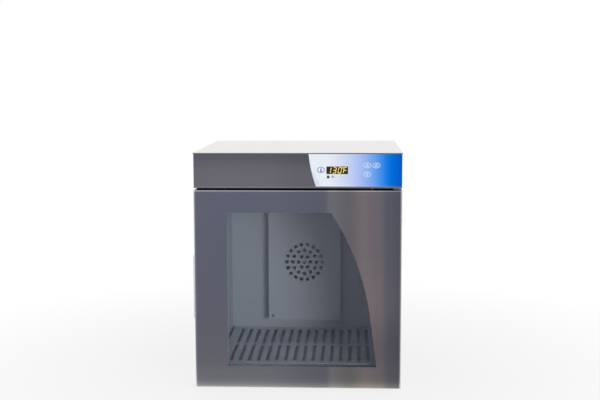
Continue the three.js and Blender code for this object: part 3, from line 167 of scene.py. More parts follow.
# Glass, lens, readout, wool and board
GLASS_TINT = (0.985, 0.99, 0.99)
GLASS_MIRROR = 0.035  # the share that it mirrors straight on
GLASS_RISE = 5.0  # the power by which that grows at a slant
LENS_TONES = ((0.018, 0.012, 0.003), (0.036, 0.025, 0.006))
LIT_TONE = (1.0, 0.75, 0.14)
LIT_STRENGTH = 1.05
UNLIT_TONE = (0.05, 0.03, 0.01)
WOOL_TONES = ((0.42, 0.34, 0.16), (0.72, 0.64, 0.40))
BOARD_TONES = ((0.012, 0.09, 0.035), (0.016, 0.11, 0.045))
TRACK_TONE = (0.05, 0.21, 0.10)

# Readout
SEGMENT_HEIGHT = 0.10 * MM
SEGMENT_WIDTH = 2.3 * MM
SEGMENT_GAP = 0.25 * MM
GLYPH_HALF_WIDTH = 4.2 * MM
GLYPH_HALF_HEIGHT = 8.2 * MM
GLYPH_PITCH = 15.3 * MM
GLYPH_SLANT = 0.17
READING = "130F"
DEGREE_RADIUS = 1.3 * MM
DEGREE_STEPS = 16

# Prints in the plane of the film: places from the frame's origin, other sizes from each sign's middle
PRINT_HEIGHT = 0.06 * MM
CURVE_STEPS = 48
SIGN_STEPS = 14
SIGN_LINE = 1.1 * MM
THERMOMETER = (68.6 * MM, 667.3 * MM)
THERMOMETER_RING = (10.1 * MM, 7.9 * MM)
THERMOMETER_LINE = 1.9 * MM
THERMOMETER_BULB = 2.9 * MM
THERMOMETER_BULB_STEPS = 24
THERMOMETER_SEAT = -3.3 * MM
THERMOMETER_STEM = 1.5 * MM
THERMOMETER_STEM_STEPS = 10
THERMOMETER_TOP = 4.2 * MM
PADLOCK = (89.3 * MM, 646.3 * MM)
PADLOCK_HALF_WIDTH = 3.6 * MM
PADLOCK_HALF_HEIGHT = 3.2 * MM
SHACKLE_RADIUS = 2.0 * MM
SHACKLE_RISE = 1.2 * MM
SPEAKER = (102.6 * MM, 647.3 * MM)
SPEAKER_BACK = -4.4 * MM
SPEAKER_WAIST = -2.4 * MM
SPEAKER_MOUTH = 0.2 * MM
SPEAKER_HALF_BACK = 1.8 * MM
SPEAKER_HALF_MOUTH = 5.4 * MM
SOUND_RADII = (2.2 * MM, 4.2 * MM)
SOUND_HALF_ANGLE = 50
KEY_RING = (10.4 * MM, 7.6 * MM)
KEY_LINE = 1.8 * MM
ARROW_HALF_WIDTH = 3.2 * MM
ARROW_FOOT = -3.4 * MM
ARROW_TIP = 4.0 * MM
BELL_CROWN = (2.4 * MM, 2.6 * MM)
BELL_CROWN_RISE = 1.0 * MM
BELL_WAIST = (2.5 * MM, -1.6 * MM)
BELL_FOOT = (3.6 * MM, -3.0 * MM)

# Door gasket, its profile in shares of its width and depth
GASKET_WIDTH = 12 * MM
GASKET_CORNER = 16 * MM
GASKET_CORNER_STEPS = 10
BULB_STEPS = 18
BULB_RADIUS = 0.36
BULB_NECK = 0.28
GASKET_FOOT = 0.12
GASKET_LIP = 0.24
GASKET_LIP_HALF_WIDTH = 0.72  # as a share of the half width

# Screw heads: each kind by its radius and height, and their shape in shares of those
REAR_SCREW = (3.6 * MM, 2.0 * MM)
SMALL_SCREW = (2.3 * MM, 0.5 * MM)
FLUSH_SCREW = (3.2 * MM, 0.12 * MM)
HINGE_SCREW = (4.0 * MM, 1.8 * MM)
DUCT_SCREW = (4.0 * MM, 2.2 * MM)
PULL_SCREW = (3.4 * MM, 0.5 * MM)
FOOT_SCREW = (5.0 * MM, 2.4 * MM)
SCREW_SIDES = 24
SCREW_RIMS = ((1.0, 0.0), (1.0, 0.4), (0.93, 0.78), (0.76, 1.0))
CROSS_REACH = 0.52
CROSS_TAPER = 0.7
CROSS_BED = 0.25

# Where the screws sit
REAR_SCREW_MARGIN = 9 * MM
REAR_SCREW_COLUMN = 5
REAR_SCREW_ROW = 4
INLET_SCREW_MARGIN = 3 * MM
HINGE_LEAF = 3 * MM
HINGE_LEAF_HEIGHT = 30 * MM
HINGE_SCREW_RISES = (7 * MM, 19 * MM)
CATCH_SCREW_OFFSET = 20 * MM
DUCT_SCREW_MARGIN = 14 * MM
PULL_LEAF = 1.5 * MM
PULL_SCREW_MARGIN = 5.5 * MM
PULL_SCREW_PITCH = 75 * MM
FOOT_RECESS = 7 * MM

# Inlet blades
INLET_DEPTH = 16 * MM
BLADE_SPOTS = ((0, 2.6 * MM), (-7.0 * MM, -1.6 * MM), (7.0 * MM, -1.6 * MM))
BLADE_HALF_WIDTH = 1.0 * MM
BLADE_HALF_HEIGHT = 2.0 * MM
BLADE_SHOULDER = 11.5 * MM
BLADE_LENGTH = 13.0 * MM
BLADE_TIP = (0.5, 0.7)  # shares of the width and the height

# Stage: white all round, a dim room that metal sees in front, and three soft lamps
ROOM_COLOR = (0.238, 0.237, 0.272)
ROOM_FULL = -0.95  # the room's bounds, by a direction's Y and Z
ROOM_GONE = -0.72
CEILING_START = 0.45
CEILING_FULL = 0.8
AMBIENT = 0.38
FLOOR_RADIUS = 40.0
FLOOR_SIDES = 96
FLOOR_COLOR = (0.82, 0.82, 0.82)
FLOOR_WHITE_NEAR = 0.80  # how white the floor is of itself near the cabinet
SHADOW_NEAR = 0.45
SHADOW_FAR = 1.5
FRONT_FLOOR_NEAR = -0.31
FRONT_FLOOR_FAR = -0.38
LAMPS = (
    ("key", (1.9, -2.3, 2.5), 3.2, 17.0),
    ("front", (1.3, -3.0, 0.55), 1.1, 43.0),
    ("rear", (-1.4, 2.2, 2.6), 3.2, 20.0),
)
LAMP_AIM = (0.0, 0.0, 0.38)


# Node trees


class Nodes:
    """A node tree under construction, with short calls for the nodes that it needs."""

    def __init__(self, tree):
        self.tree = tree

    def add(self, kind, inputs=None, **settings):
        node = self.tree.nodes.new("ShaderNode" + kind)
        for key, value in settings.items():
            setattr(node, key, value)
        for key, value in (inputs or {}).items():
            self.feed(node.inputs[key], value)
        return node

    def feed(self, socket, value):
        """Links another node's socket, or sets a plain value."""
        if isinstance(value, bpy.types.NodeSocket):
            self.tree.links.new(value, socket)
        else:
            socket.default_value = value

    def math(self, operation, *values):
        return self.add("Math", dict(enumerate(values)), operation=operation).outputs["Value"]

    def spread(self, value, low=0, high=1, start=0.3, end=0.7, shape="LINEAR"):
        """Maps the stretch from start to end, if not given a noise's usual one, onto low to high."""
        stretch = {"Value": value, "From Min": start, "From Max": end, "To Min": low, "To Max": high}
        return self.add("MapRange", stretch, interpolation_type=shape).outputs["Result"]

    def axes(self, vector):
        return self.add("SeparateXYZ", {"Vector": vector}).outputs

    def either(self, factor, a, b):
        """Shader a where the factor is 0, and b where it is 1."""
        return self.add("MixShader", {0: factor, 1: a, 2: b}).outputs["Shader"]

    def seen(self):
        """1 for what the eye sees, straight or through glass."""
        rays = self.add("LightPath").outputs
        return self.math("MAXIMUM", rays["Is Camera Ray"], rays["Is Transmission Ray"])

    def mirrored(self):
        """1 for what metal sees."""
        return self.add("LightPath").outputs["Is Glossy Ray"]


class Finish(Nodes):
    """A material under construction."""

    def __init__(self, name):
        self.material = bpy.data.materials.new(name)
        self.material.use_nodes = True
        super().__init__(self.material.node_tree)
        self.shader = self.tree.nodes["Principled BSDF"]

    def set(self, **values):
        """Sets the shader's sockets by their names, with _ for a space."""
        for key, value in values.items():
            self.feed(self.shader.inputs[key.replace("_", " ")], value)

    def surface(self, shader):
        """Takes that shader in place of the first one."""
        self.tree.nodes.remove(self.shader)
        self.feed(self.tree.nodes["Material Output"].inputs["Surface"], shader)

    def place(self, scale=(1, 1, 1)):
        coords = self.add("TexCoord")
        mapping = self.add("Mapping", {"Vector": coords.outputs["Object"], "Scale": scale})
        return mapping.outputs["Vector"]

    def noise(self, scale, detail=3.0, roughness=0.55):
        """A cloudy pattern: its scale is one number, or one for each axis."""
        scales = scale if isinstance(scale, tuple) else (scale, scale, scale)
        node = self.add("TexNoise", {"Vector": self.place(scales), "Scale": 1.0, "Detail": detail,
                                     "Roughness": roughness})
        return node.outputs["Fac"]

    def ramp(self, value, stops, interpolation="EASE"):
        node = self.add("ValToRGB", {"Fac": value})
        node.color_ramp.interpolation = interpolation
        while len(node.color_ramp.elements) < len(stops):
            node.color_ramp.elements.new(0.5)
        for element, (position, color) in zip(node.color_ramp.elements, stops):
            element.position = position
            element.color = rgba(color)
        return node.outputs["Color"]

    def blend(self, factor, a, b, mode="MIX"):
        node = self.add("Mix", data_type="RGBA", blend_type=mode)
        self.feed(node.inputs["Factor"], factor)
        self.feed(node.inputs["A"], a)
        self.feed(node.inputs["B"], b)
        return node.outputs["Result"]

    def bump(self, height, strength, distance):
        node = self.add("Bump", {"Height": height, "Strength": strength, "Distance": distance})
        self.set(Normal=node.outputs["Normal"])


def rgba(color):
    return (*color, 1.0)


def shades(color, amount):
    """Two shades of a colour, darker and lighter by that share."""
    return tuple(rgba([c * (1 + s * amount) for c in color]) for s in (-1, 1))


# Materials


def brushed_steel(name, color, roughness, grain, spread_along, painted_reflection=None, metallic=1.0):
    """Sheet steel brushed in one direction: grain is the pattern's scale along each axis."""
    f = Finish(name)
    lines = f.noise(grain, detail=6, roughness=0.7)
    clouds = f.noise(3, detail=3)
    tone = f.blend(f.spread(lines), *shades(color, amount=0.05))
    tone = f.blend(f.spread(clouds, high=CLOUD_SHARE), tone, rgba([CLOUD_SHADE * c for c in color]))
    # Painted reflections, where given, multiply into the steel's colour
    if painted_reflection:
        tone = f.blend(1.0, tone, painted_reflection(f), "MULTIPLY")
    direction = f.add("VectorTransform", {"Vector": spread_along}, vector_type="VECTOR",
                      convert_from="OBJECT", convert_to="WORLD")
    f.set(Base_Color=tone, Metallic=metallic, Anisotropic=0.7, Tangent=direction.outputs["Vector"])
    f.set(Roughness=f.spread(lines, low=roughness - 0.04, high=roughness + 0.05))
    f.bump(lines, strength=0.08, distance=0.02 * MM)
    return f.material


def front_steel(name, color, painted_reflection=None):
    """Upright sheets, brushed side to side."""
    return brushed_steel(name, color, 0.20, FRONT_GRAIN, (0, 0, 1), painted_reflection)


def liner_steel(name, grain, spread_along):
    """The chamber's sheets, which are duller."""
    return brushed_steel(name, LINER_STEEL, 0.32, grain, spread_along, metallic=0.2)


def door_painted_reflections(f):
    """Painted reflections on the door: soft upright streaks in its right third and a warmer foot, with
    none on the bends.
    """
    low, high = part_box("door_skin")
    axes = f.axes(f.place())
    lean = f.math("MULTIPLY_ADD", axes["Z"], STREAK_LEAN, axes["X"])
    sway = f.math("MULTIPLY_ADD", f.noise(STREAK_SWAY_SCALE, detail=2), STREAK_SWAY, lean)
    offset = STREAK_LEAN * (low.z + high.z) / 2 + STREAK_SWAY / 2
    along = f.spread(sway, start=low.x + offset, end=high.x + offset)
    up = f.spread(axes["Z"], start=low.z, end=high.z)
    streaks = f.ramp(along, DOOR_PAINTED_REFLECTION_STREAKS)
    rise = f.blend(f.spread(along), f.ramp(up, DOOR_PAINTED_REFLECTIONS_RISE_LEFT), f.ramp(up, DOOR_PAINTED_REFLECTIONS_RISE_RIGHT))
    side = f.math("ABSOLUTE", axes["X"])
    bend = f.spread(side, start=high.x - DOOR_BEND, end=high.x - DOOR_BEND / 2)
    return f.blend(bend, f.blend(1.0, streaks, rise, "MULTIPLY"), rgba(WHITE))


def head_painted_reflections(f):
    """Painted reflections on the fascia: painted shade towards its top and its right, and a painted
    highlight along its lower bend.
    """
    low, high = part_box("fascia")
    axes = f.axes(f.place())
    across = f.ramp(f.spread(axes["X"], start=low.x, end=high.x), HEAD_PAINTED_REFLECTIONS_ACROSS)
    rise = f.ramp(f.spread(axes["Z"], start=low.z, end=high.z), HEAD_PAINTED_REFLECTIONS_RISE, "LINEAR")
    return f.blend(1.0, across, rise, "MULTIPLY")


def satin_metal(name, color, roughness, metallic=1.0):
    """Plain metal with a fine cloudy surface, as rolled, plated or cast."""
    f = Finish(name)
    fine = f.noise(220, detail=5, roughness=0.65)
    clouds = f.noise(7, detail=4)
    f.set(Base_Color=f.blend(f.spread(clouds), *shades(color, amount=0.06)), Metallic=metallic)
    f.set(Roughness=f.spread(fine, low=roughness - 0.05, high=roughness + 0.06))
    f.bump(fine, strength=0.06, distance=0.03 * MM)
    return f.material


def moulded(name, color, roughness, grain=900):
    """Moulded plastic, rubber or enamel with a fine texture."""
    f = Finish(name)
    fine = f.noise(grain, detail=4)
    clouds = f.noise(25, detail=3)
    f.set(Base_Color=f.blend(f.spread(clouds), *shades(color, amount=0.15)))
    f.set(Roughness=f.spread(fine, low=roughness - 0.07, high=roughness + 0.07))
    f.bump(fine, strength=0.25, distance=0.04 * MM)
    return f.material


def window_glass(name):
    """Clear pane: it lets light straight through, and mirrors more at a slant."""
    f = Finish(name)
    facing_away = f.add("LayerWeight", {"Blend": 0.5}).outputs["Facing"]
    slant = f.math("POWER", facing_away, GLASS_RISE)
    share = f.math("MULTIPLY_ADD", slant, 1 - GLASS_MIRROR, GLASS_MIRROR)
    smears = f.noise((9, 9, 5), detail=4)
    clear = f.add("BsdfTransparent", {"Color": rgba(GLASS_TINT)}).outputs["BSDF"]
    gloss = f.add("BsdfGlossy", {"Roughness": f.spread(smears, high=0.05)}).outputs["BSDF"]
    f.surface(f.either(share, clear, gloss))
    return f.material


def overlay_film(name, paler):
    """Printed control film: white at its left end to blue at its right, with a pale printed swoosh and a
    painted highlight along its foot.
    """
    f = Finish(name)
    low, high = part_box("control_overlay")
    axes = f.axes(f.place())
    along = f.spread(axes["X"], start=low.x, end=high.x)
    rise = f.math("SUBTRACT", axes["Z"], low.z)
    tone = f.ramp(along, OVERLAY_TONES, "LINEAR")
    drop = f.math("MULTIPLY_ADD", rise, -SWOOSH_CURVE, SWOOSH_SLOPE)
    edge = f.math("MULTIPLY_ADD", f.math("MULTIPLY", rise, drop), -1, SWOOSH_FOOT)
    inside = f.spread(f.math("SUBTRACT", edge, axes["X"]), start=0, end=SWOOSH_EDGE)
    fading = f.spread(rise, low=1, high=0, start=0, end=high.z - low.z)
    tone = f.blend(f.math("MULTIPLY", inside, fading), tone, rgba(SWOOSH_TONE))
    # A painted highlight along the film's foot, fading towards its blue end
    light = f.spread(along, OVERLAY_PAINTED_HIGHLIGHT, 0, OVERLAY_PAINTED_HIGHLIGHT_FULL, OVERLAY_PAINTED_HIGHLIGHT_GONE)
    foot = f.math("MULTIPLY", light, f.spread(rise, low=1, high=0, start=0, end=OVERLAY_PAINTED_HIGHLIGHT_HEIGHT))
    tone = f.blend(foot, tone, rgba(WHITE))
    tone = f.blend(paler, tone, rgba(KEY_PALE))
    fine = f.noise(2600, detail=2)
    f.set(Base_Color=tone, Roughness=f.spread(fine, low=0.34, high=0.44), Specular_IOR_Level=0.03)
    f.bump(fine, strength=0.08, distance=0.02 * MM)
    return f.material


def printed(name, color):
    """Ink printed on the film, very slightly uneven."""
    f = Finish(name)
    fine = f.noise(1500, detail=3)
    f.set(Base_Color=f.blend(f.spread(fine), *shades(color, amount=0.06)), Roughness=0.4)
    return f.material


def lit_segment(name):
    """A lit bar of the readout."""
    f = Finish(name)
    fine = f.noise(700, detail=2)
    glow = f.blend(f.spread(fine), *shades(LIT_TONE, amount=0.10))
    f.set(Base_Color=rgba(UNLIT_TONE), Roughness=0.4)
    f.set(Emission_Color=glow, Emission_Strength=LIT_STRENGTH)
    return f.material


def smoked_lens(name):
    """Dark tinted acrylic over the readout."""
    f = Finish(name)
    fine = f.noise(60, detail=3)
    f.set(Base_Color=f.blend(f.spread(fine), *map(rgba, LENS_TONES)))
    f.set(Roughness=f.spread(fine, low=0.08, high=0.16), Coat_Weight=0.5, Coat_Roughness=0.05)
    return f.material


def mineral_wool(name):
    """Pressed fibre board."""
    f = Finish(name)
    fibres = f.noise((160, 160, 700), detail=8, roughness=0.75)
    f.set(Base_Color=f.blend(f.spread(fibres), *map(rgba, WOOL_TONES)))
    f.set(Roughness=0.95, Sheen_Weight=0.2)
    f.bump(fibres, strength=0.8, distance=0.8 * MM)
    return f.material


def circuit_board(name):
    """Green solder mask with paler tracks."""
    f = Finish(name)
    first, second = map(rgba, BOARD_TONES)
    tracks = f.add("TexBrick", {"Vector": f.place((140, 140, 140)), "Scale": 1.0, "Mortar Size": 0.05,
                                "Color1": first, "Color2": second, "Mortar": rgba(TRACK_TONE)})
    f.set(Base_Color=tracks.outputs["Color"], Roughness=f.spread(f.noise(90), low=0.3, high=0.45))
    f.bump(tracks.outputs["Fac"], strength=0.3, distance=0.05 * MM)
    return f.material


def make_finishes():
    """Every finish by the record's slot, then the ones that some nodes and pieces take instead."""
    return {
        "brushed_steel": front_steel("steel_front", STEEL),
        # Near black, so that the gap between the door and the head reads as deep shade: painted shade
        "frame_paint": moulded("frame_paint", (0.010, 0.010, 0.011), roughness=0.5, grain=600),
        "liner_steel": liner_steel("liner_steel", LINER_GRAIN, (0, 0, 1)),
        "plain_steel": satin_metal("plain_steel", (0.52, 0.53, 0.55), roughness=0.36),
        "window_glass": window_glass("window_glass"),
        "window_rail": satin_metal("window_rail", (0.62, 0.63, 0.65), roughness=0.36),
        "smoked_lens": smoked_lens("smoked_lens"),
        "overlay_film": overlay_film("overlay_film", paler=0.0),
        "key_film": overlay_film("key_film", paler=KEY_PALER),
        "gasket_rubber": moulded("gasket_rubber", (0.022, 0.022, 0.024), roughness=0.55),
        "foot_rubber": moulded("foot_rubber", (0.018, 0.018, 0.018), roughness=0.7),
        "mineral_wool": mineral_wool("mineral_wool"),
        "circuit_board": circuit_board("circuit_board"),
        "supply_case": satin_metal("supply_case", (0.58, 0.59, 0.60), roughness=0.42),
        "moulding": moulded("moulding", (0.018, 0.018, 0.020), roughness=0.42),
        "motor_housing": satin_metal("motor_housing", (0.05, 0.055, 0.06), roughness=0.5, metallic=0.3),
        "magnet_block": moulded("magnet_block", (0.03, 0.03, 0.033), roughness=0.5),
        "bronze": satin_metal("bronze", (0.50, 0.31, 0.14), roughness=0.4),
        "heater_sheath": satin_metal("heater_sheath", (0.16, 0.13, 0.11), roughness=0.45),
        # The door's steel carries painted reflections
        "steel_door_painted_reflections": front_steel("steel_door_painted_reflections", DOOR_STEEL, door_painted_reflections),
        # The fascia's steel carries painted shade and a painted highlight
        "steel_head_painted_reflections": front_steel("steel_head_painted_reflections", HEAD_STEEL, head_painted_reflections),
        # The top's lighter, warmer steel is a painted highlight
        "steel_top_painted_highlight": brushed_steel("steel_top_painted_highlight", TOP_STEEL_PAINTED_HIGHLIGHT, 0.12, TOP_GRAIN, (0, 1, 0)),
        "liner_flat": liner_steel("liner_flat", LINER_FLAT_GRAIN, (1, 0, 0)),
        # Lighter than plain steel, as painted light that lifts the hinge brackets out of the shade in
        # the gap
        "hinge_steel_painted_light": satin_metal("hinge_steel_painted_light", (0.80, 0.81, 0.85), roughness=0.36),
        "readout": lit_segment("readout"),
        "ink_ring": printed("ink_ring", (0.10, 0.17, 0.42)),
        "ink_dark": printed("ink_dark", (0.006, 0.016, 0.022)),
        "ink_grey": printed("ink_grey", (0.26, 0.29, 0.35)),
        "ink_pale": printed("ink_pale", (0.66, 0.77, 0.95)),
    }


finishes = make_finishes()

NODE_VARIANTS = {
    "door_skin": "steel_door_painted_reflections",
    "fascia": "steel_head_painted_reflections",
    "top_cover": "steel_top_painted_highlight",
    "liner_floor": "liner_flat",
    "liner_ceiling": "liner_flat",
    "floor_rack": "liner_flat",
    "hinge_bracket_top": "hinge_steel_painted_light",
    "hinge_bracket_bottom": "hinge_steel_painted_light",
}


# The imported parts


def smoothing_group():
    """Joins the triangles' corners and shades them smooth, except over sharp edges."""
    group = bpy.data.node_groups.new("smooth_by_angle", "GeometryNodeTree")
    group.interface.new_socket("Geometry", in_out="INPUT", socket_type="NodeSocketGeometry")
    group.interface.new_socket("Geometry", in_out="OUTPUT", socket_type="NodeSocketGeometry")
    start = group.nodes.new("NodeGroupInput")
    end = group.nodes.new("NodeGroupOutput")
    weld = group.nodes.new("GeometryNodeMergeByDistance")
    weld.inputs["Distance"].default_value = WELD
    bare = group.nodes.new("GeometryNodeRemoveAttribute")
    bare.inputs["Name"].default_value = "custom_normal"
    faces = group.nodes.new("GeometryNodeSetShadeSmooth")
    edges = group.nodes.new("GeometryNodeSetShadeSmooth")
    edges.domain = "EDGE"
    angle = group.nodes.new("GeometryNodeInputMeshEdgeAngle")
    flat = group.nodes.new("FunctionNodeCompare")
    flat.operation = "LESS_EQUAL"
    flat.inputs["B"].default_value = SMOOTH_ANGLE
    chain = [start, weld, bare, faces, edges, end]
    for a, b in zip(chain, chain[1:]):
        group.links.new(a.outputs[0], b.inputs[0])
    group.links.new(angle.outputs["Unsigned Angle"], flat.inputs["A"])
    group.links.new(flat.outputs["Result"], edges.inputs["Shade Smooth"])
    return group


smoothing = smoothing_group()


def dress_frame():
    """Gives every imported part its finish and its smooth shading."""
    slots = {part["node"]: part["material_slot"] for part in frame["record"]["subparts"]}
    for name, obj in nodes.items():
        obj.modifiers.new("smooth", "NODES").node_group = smoothing
        obj.material_slots[0].material = finishes[NODE_VARIANTS.get(name, slots[name])]


# Meshes


def facing(point, out, up=(0, 0, 1)):
    """A frame at that point: local Z looks out, and local Y is as near up as it can be."""
    right = Vector(up).cross(out).normalized()
    turn = Matrix((right, out.cross(right), out)).transposed()
    return Matrix.Translation(point) @ turn.to_4x4()


def loop(bm, place, outline, height):
    return [bm.verts.new(place @ Vector((x, y, height))) for x, y in outline]


def walls(bm, a, b):
    """Joins two loops of as many corners by quads."""
    for i in range(len(a)):
        j = (i + 1) % len(a)
        bm.faces.new((a[i], a[j], b[j], b[i]))


def plate(bm, place, outline, height):
    """A flat plate of that outline, standing on the frame's plane."""
    foot = loop(bm, place, outline, 0)
    top = loop(bm, place, outline, height)
    walls(bm, foot, top)
    bm.faces.new(foot)
    bm.faces.new(top)


def hoop(bm, place, outer, inner, height):
    """A flat frame between two outlines of as many corners."""
    levels = ((outer, 0), (outer, height), (inner, height), (inner, 0))
    loops = [loop(bm, place, outline, level) for outline, level in levels]
    for a, b in zip(loops, loops[1:] + loops[:1]):
        walls(bm, a, b)


def beside(path, distance, closed):
    """The path moved sideways by that distance, with mitred corners."""
    points = [Vector(point) for point in path]
    steps = [(b - a).normalized() for a, b in zip(points, points[1:] + points[:1])]
    moved = []
    for i, point in enumerate(points):
        before = steps[i - 1] if closed or i > 0 else steps[0]
        after = steps[i] if closed or i < len(points) - 1 else steps[i - 1]
        way = (before + after).normalized()
        side = Vector((-way.y, way.x))
        moved.append(point + side * (distance / side.dot(Vector((-after.y, after.x)))))
    return moved


def stroke(bm, place, path, width, height, closed=False):
    """A line of that width along the path."""
    left = beside(path, width / 2, closed)
    right = beside(path, -width / 2, closed)
    if closed:
        hoop(bm, place, left, right, height)
    else:
        plate(bm, place, left + right[::-1], height)


def rectangle(half_width, half_height):
    return [(-half_width, -half_height), (half_width, -half_height),
            (half_width, half_height), (-half_width, half_height)]


def arc(center, radii, start, end, steps):
    """Points along an ellipse's arc, its angles in degrees, ends included."""
    angles = [math.radians(start + (end - start) * i / steps) for i in range(steps + 1)]
    return [(center[0] + radii[0] * math.cos(a), center[1] + radii[1] * math.sin(a)) for a in angles]


def ellipse(center, radii, steps=CURVE_STEPS):
    return arc(center, radii, 0, 360, steps)[:-1]


def screw(bm, place, size):
    """A pan head with a cross recess: size is its radius and height."""
    radius, height = size
    step = 360 / SCREW_SIDES
    loops = []
    for share, level in SCREW_RIMS:
        rim = arc((0, 0), (share * radius, share * radius), -step, 360 - step, SCREW_SIDES)[:-1]
        loops.append(loop(bm, place, rim, level * height))
    bm.faces.new(loops[0])
    for a, b in zip(loops, loops[1:]):
        walls(bm, a, b)
    reach = CROSS_REACH * radius
    half = reach * math.tan(math.radians(step))
    arm = ((reach, -half), (reach, half), (half, half))
    turns = [Matrix.Rotation(math.radians(90 * k), 2) for k in range(4)]
    cross = [turn @ Vector(corner) for turn in turns for corner in arm]
    mouth = loop(bm, place, cross, height)
    bed = loop(bm, place, [CROSS_TAPER * corner for corner in cross], CROSS_BED * height)
    walls(bm, mouth, bed)
    bm.faces.new(bed)
    top = loops[-1]
    for i, corner in enumerate(mouth):
        a, b, c = (top[(2 * i + k) % SCREW_SIDES] for k in range(3))
        after = mouth[(i + 1) % len(mouth)]
        bm.faces.new((corner, a, b))
        bm.faces.new((corner, b, after))
        bm.faces.new((after, b, c))


def make_piece(name, bm, finish, body):
    """Ends a mesh as a named piece that rides on a body."""
    bmesh.ops.recalc_face_normals(bm, faces=bm.faces)
    mesh = bpy.data.meshes.new(name)
    bm.to_mesh(mesh)
    bm.free()
    mesh.materials.append(finishes[finish])
    piece = bpy.data.objects.new(name, mesh)
    piece.modifiers.new("smooth", "NODES").node_group = smoothing
    bpy.context.scene.collection.objects.link(piece)
    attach(piece, body)
    return piece


# Door gasket: a bulb on a flat foot, all round the door's back


def gasket_profile(width, depth):
    """Points of the foot and bulb, once round: across from the middle, and rise from the foot."""
    half = width / 2
    bulb = BULB_RADIUS * width
    middle = depth - bulb
    neck = math.degrees(math.asin((middle - BULB_NECK * depth) / bulb))
    crown = arc((0, middle), (bulb, bulb), -neck, 180 + neck, BULB_STEPS)
    foot = GASKET_FOOT * depth
    lip = GASKET_LIP_HALF_WIDTH * half
    lip_rise = GASKET_LIP * depth
    base = [(-half, 0), (half, 0), (half, foot)]
    return [*base, (lip, lip_rise), *crown, (-lip, lip_rise), (-half, foot)]


def rounded_path(half_width, bottom, top, radius):
    """Points and outward directions round a rectangle with round corners."""
    corners = ((1, top, 0), (-1, top, 90), (-1, bottom, 180), (1, bottom, 270))
    path = []
    for side, level, start in corners:
        inward = -radius if level == top else radius
        center = (side * (half_width - radius), level + inward)
        for i in range(GASKET_CORNER_STEPS + 1):
            turn = math.radians(start + 90 * i / GASKET_CORNER_STEPS)
            out = Vector((math.cos(turn), math.sin(turn)))
            path.append((Vector(center) + radius * out, out))
    return path


def make_gasket():
    low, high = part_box("door_gasket")
    inset = GASKET_WIDTH / 2
    profile = gasket_profile(GASKET_WIDTH, high.y - low.y)
    path = rounded_path(high.x - inset, low.z + inset, high.z - inset, GASKET_CORNER)
    bm = bmesh.new()
    rings = []
    for point, out in path:
        ring = []
        for across, rise in profile:
            x, z = point + across * out
            ring.append(bm.verts.new((x, low.y + rise, z)))
        rings.append(ring)
    for a, b in zip(rings, rings[1:] + rings[:1]):
        walls(bm, a, b)
    gasket = make_piece("door_gasket_bulb", bm, "gasket_rubber", "door")
    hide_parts("door_gasket")


# Control panel: readout, signs and key legends

GLYPHS = {"1": "bc", "3": "abcdg", "0": "abcdef", "F": "aefg"}
SEGMENTS = {
    "a": ((-1, 1), (1, 1)),
    "b": ((1, 1), (1, 0)),
    "c": ((1, 0), (1, -1)),
    "d": ((-1, -1), (1, -1)),
    "e": ((-1, 0), (-1, -1)),
    "f": ((-1, 1), (-1, 0)),
    "g": ((-1, 0), (1, 0)),
}


def slanted(points, offset):
    return [Vector((x + GLYPH_SLANT * y + offset, y)) for x, y in points]


def segment_bar(ends):
    """A bar with pointed ends between two corners of the glyph's grid."""
    a, b = (Vector((x * GLYPH_HALF_WIDTH, y * GLYPH_HALF_HEIGHT)) for x, y in ends)
    along = (b - a).normalized()
    side = Vector((-along.y, along.x)) * SEGMENT_WIDTH / 2
    nib = along * SEGMENT_WIDTH / 2
    a += along * SEGMENT_GAP
    b -= along * SEGMENT_GAP
    return [a, a + nib - side, b - nib - side, b, b - nib + side, a + nib + side]


def make_readout():
    """The lit figures, with a small ring before the last one."""
    low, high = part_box("display_lens")
    middle = (low + high) / 2
    place = facing((middle.x, low.y, middle.z), FRONT)
    bm = bmesh.new()
    for i, glyph in enumerate(READING):
        offset = (i - (len(READING) - 1) / 2) * GLYPH_PITCH
        for name in GLYPHS[glyph]:
            plate(bm, place, slanted(segment_bar(SEGMENTS[name]), offset), SEGMENT_HEIGHT)
    center = (0, GLYPH_HALF_HEIGHT - DEGREE_RADIUS / 2)
    degree = ellipse(center, (DEGREE_RADIUS, DEGREE_RADIUS), DEGREE_STEPS)
    stroke(bm, place, slanted(degree, GLYPH_PITCH), SEGMENT_WIDTH / 2, SEGMENT_HEIGHT, closed=True)
    make_piece("readout_digits", bm, "readout", "cabinet")


def on_film(spot):
    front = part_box("control_overlay")[0].y
    return facing((spot[0], front, spot[1]), FRONT)


def make_thermometer_icon():
    place = on_film(THERMOMETER)
    bm = bmesh.new()
    ring = ellipse((0, 0), THERMOMETER_RING)
    stroke(bm, place, ring, THERMOMETER_LINE, PRINT_HEIGHT, closed=True)
    bulb = THERMOMETER_BULB
    stem = THERMOMETER_STEM
    lean = math.degrees(math.asin(stem / bulb))
    around = arc((0, THERMOMETER_SEAT), (bulb, bulb), 90 + lean, 450 - lean, THERMOMETER_BULB_STEPS)
    cap = arc((0, THERMOMETER_TOP), (stem, stem), 0, 180, THERMOMETER_STEM_STEPS)
    plate(bm, place, around + cap, PRINT_HEIGHT)
    make_piece("thermometer_icon", bm, "ink_ring", "cabinet")


def make_padlock_icon():
    place = on_film(PADLOCK)
    top = PADLOCK_HALF_HEIGHT
    reach = SHACKLE_RADIUS
    bm = bmesh.new()
    plate(bm, place, rectangle(PADLOCK_HALF_WIDTH, PADLOCK_HALF_HEIGHT), PRINT_HEIGHT)
    crown = arc((0, top + SHACKLE_RISE), (reach, reach), 0, 180, SIGN_STEPS)
    stroke(bm, place, [(reach, top), *crown, (-reach, top)], SIGN_LINE, PRINT_HEIGHT)
    make_piece("padlock_icon", bm, "ink_dark", "cabinet")


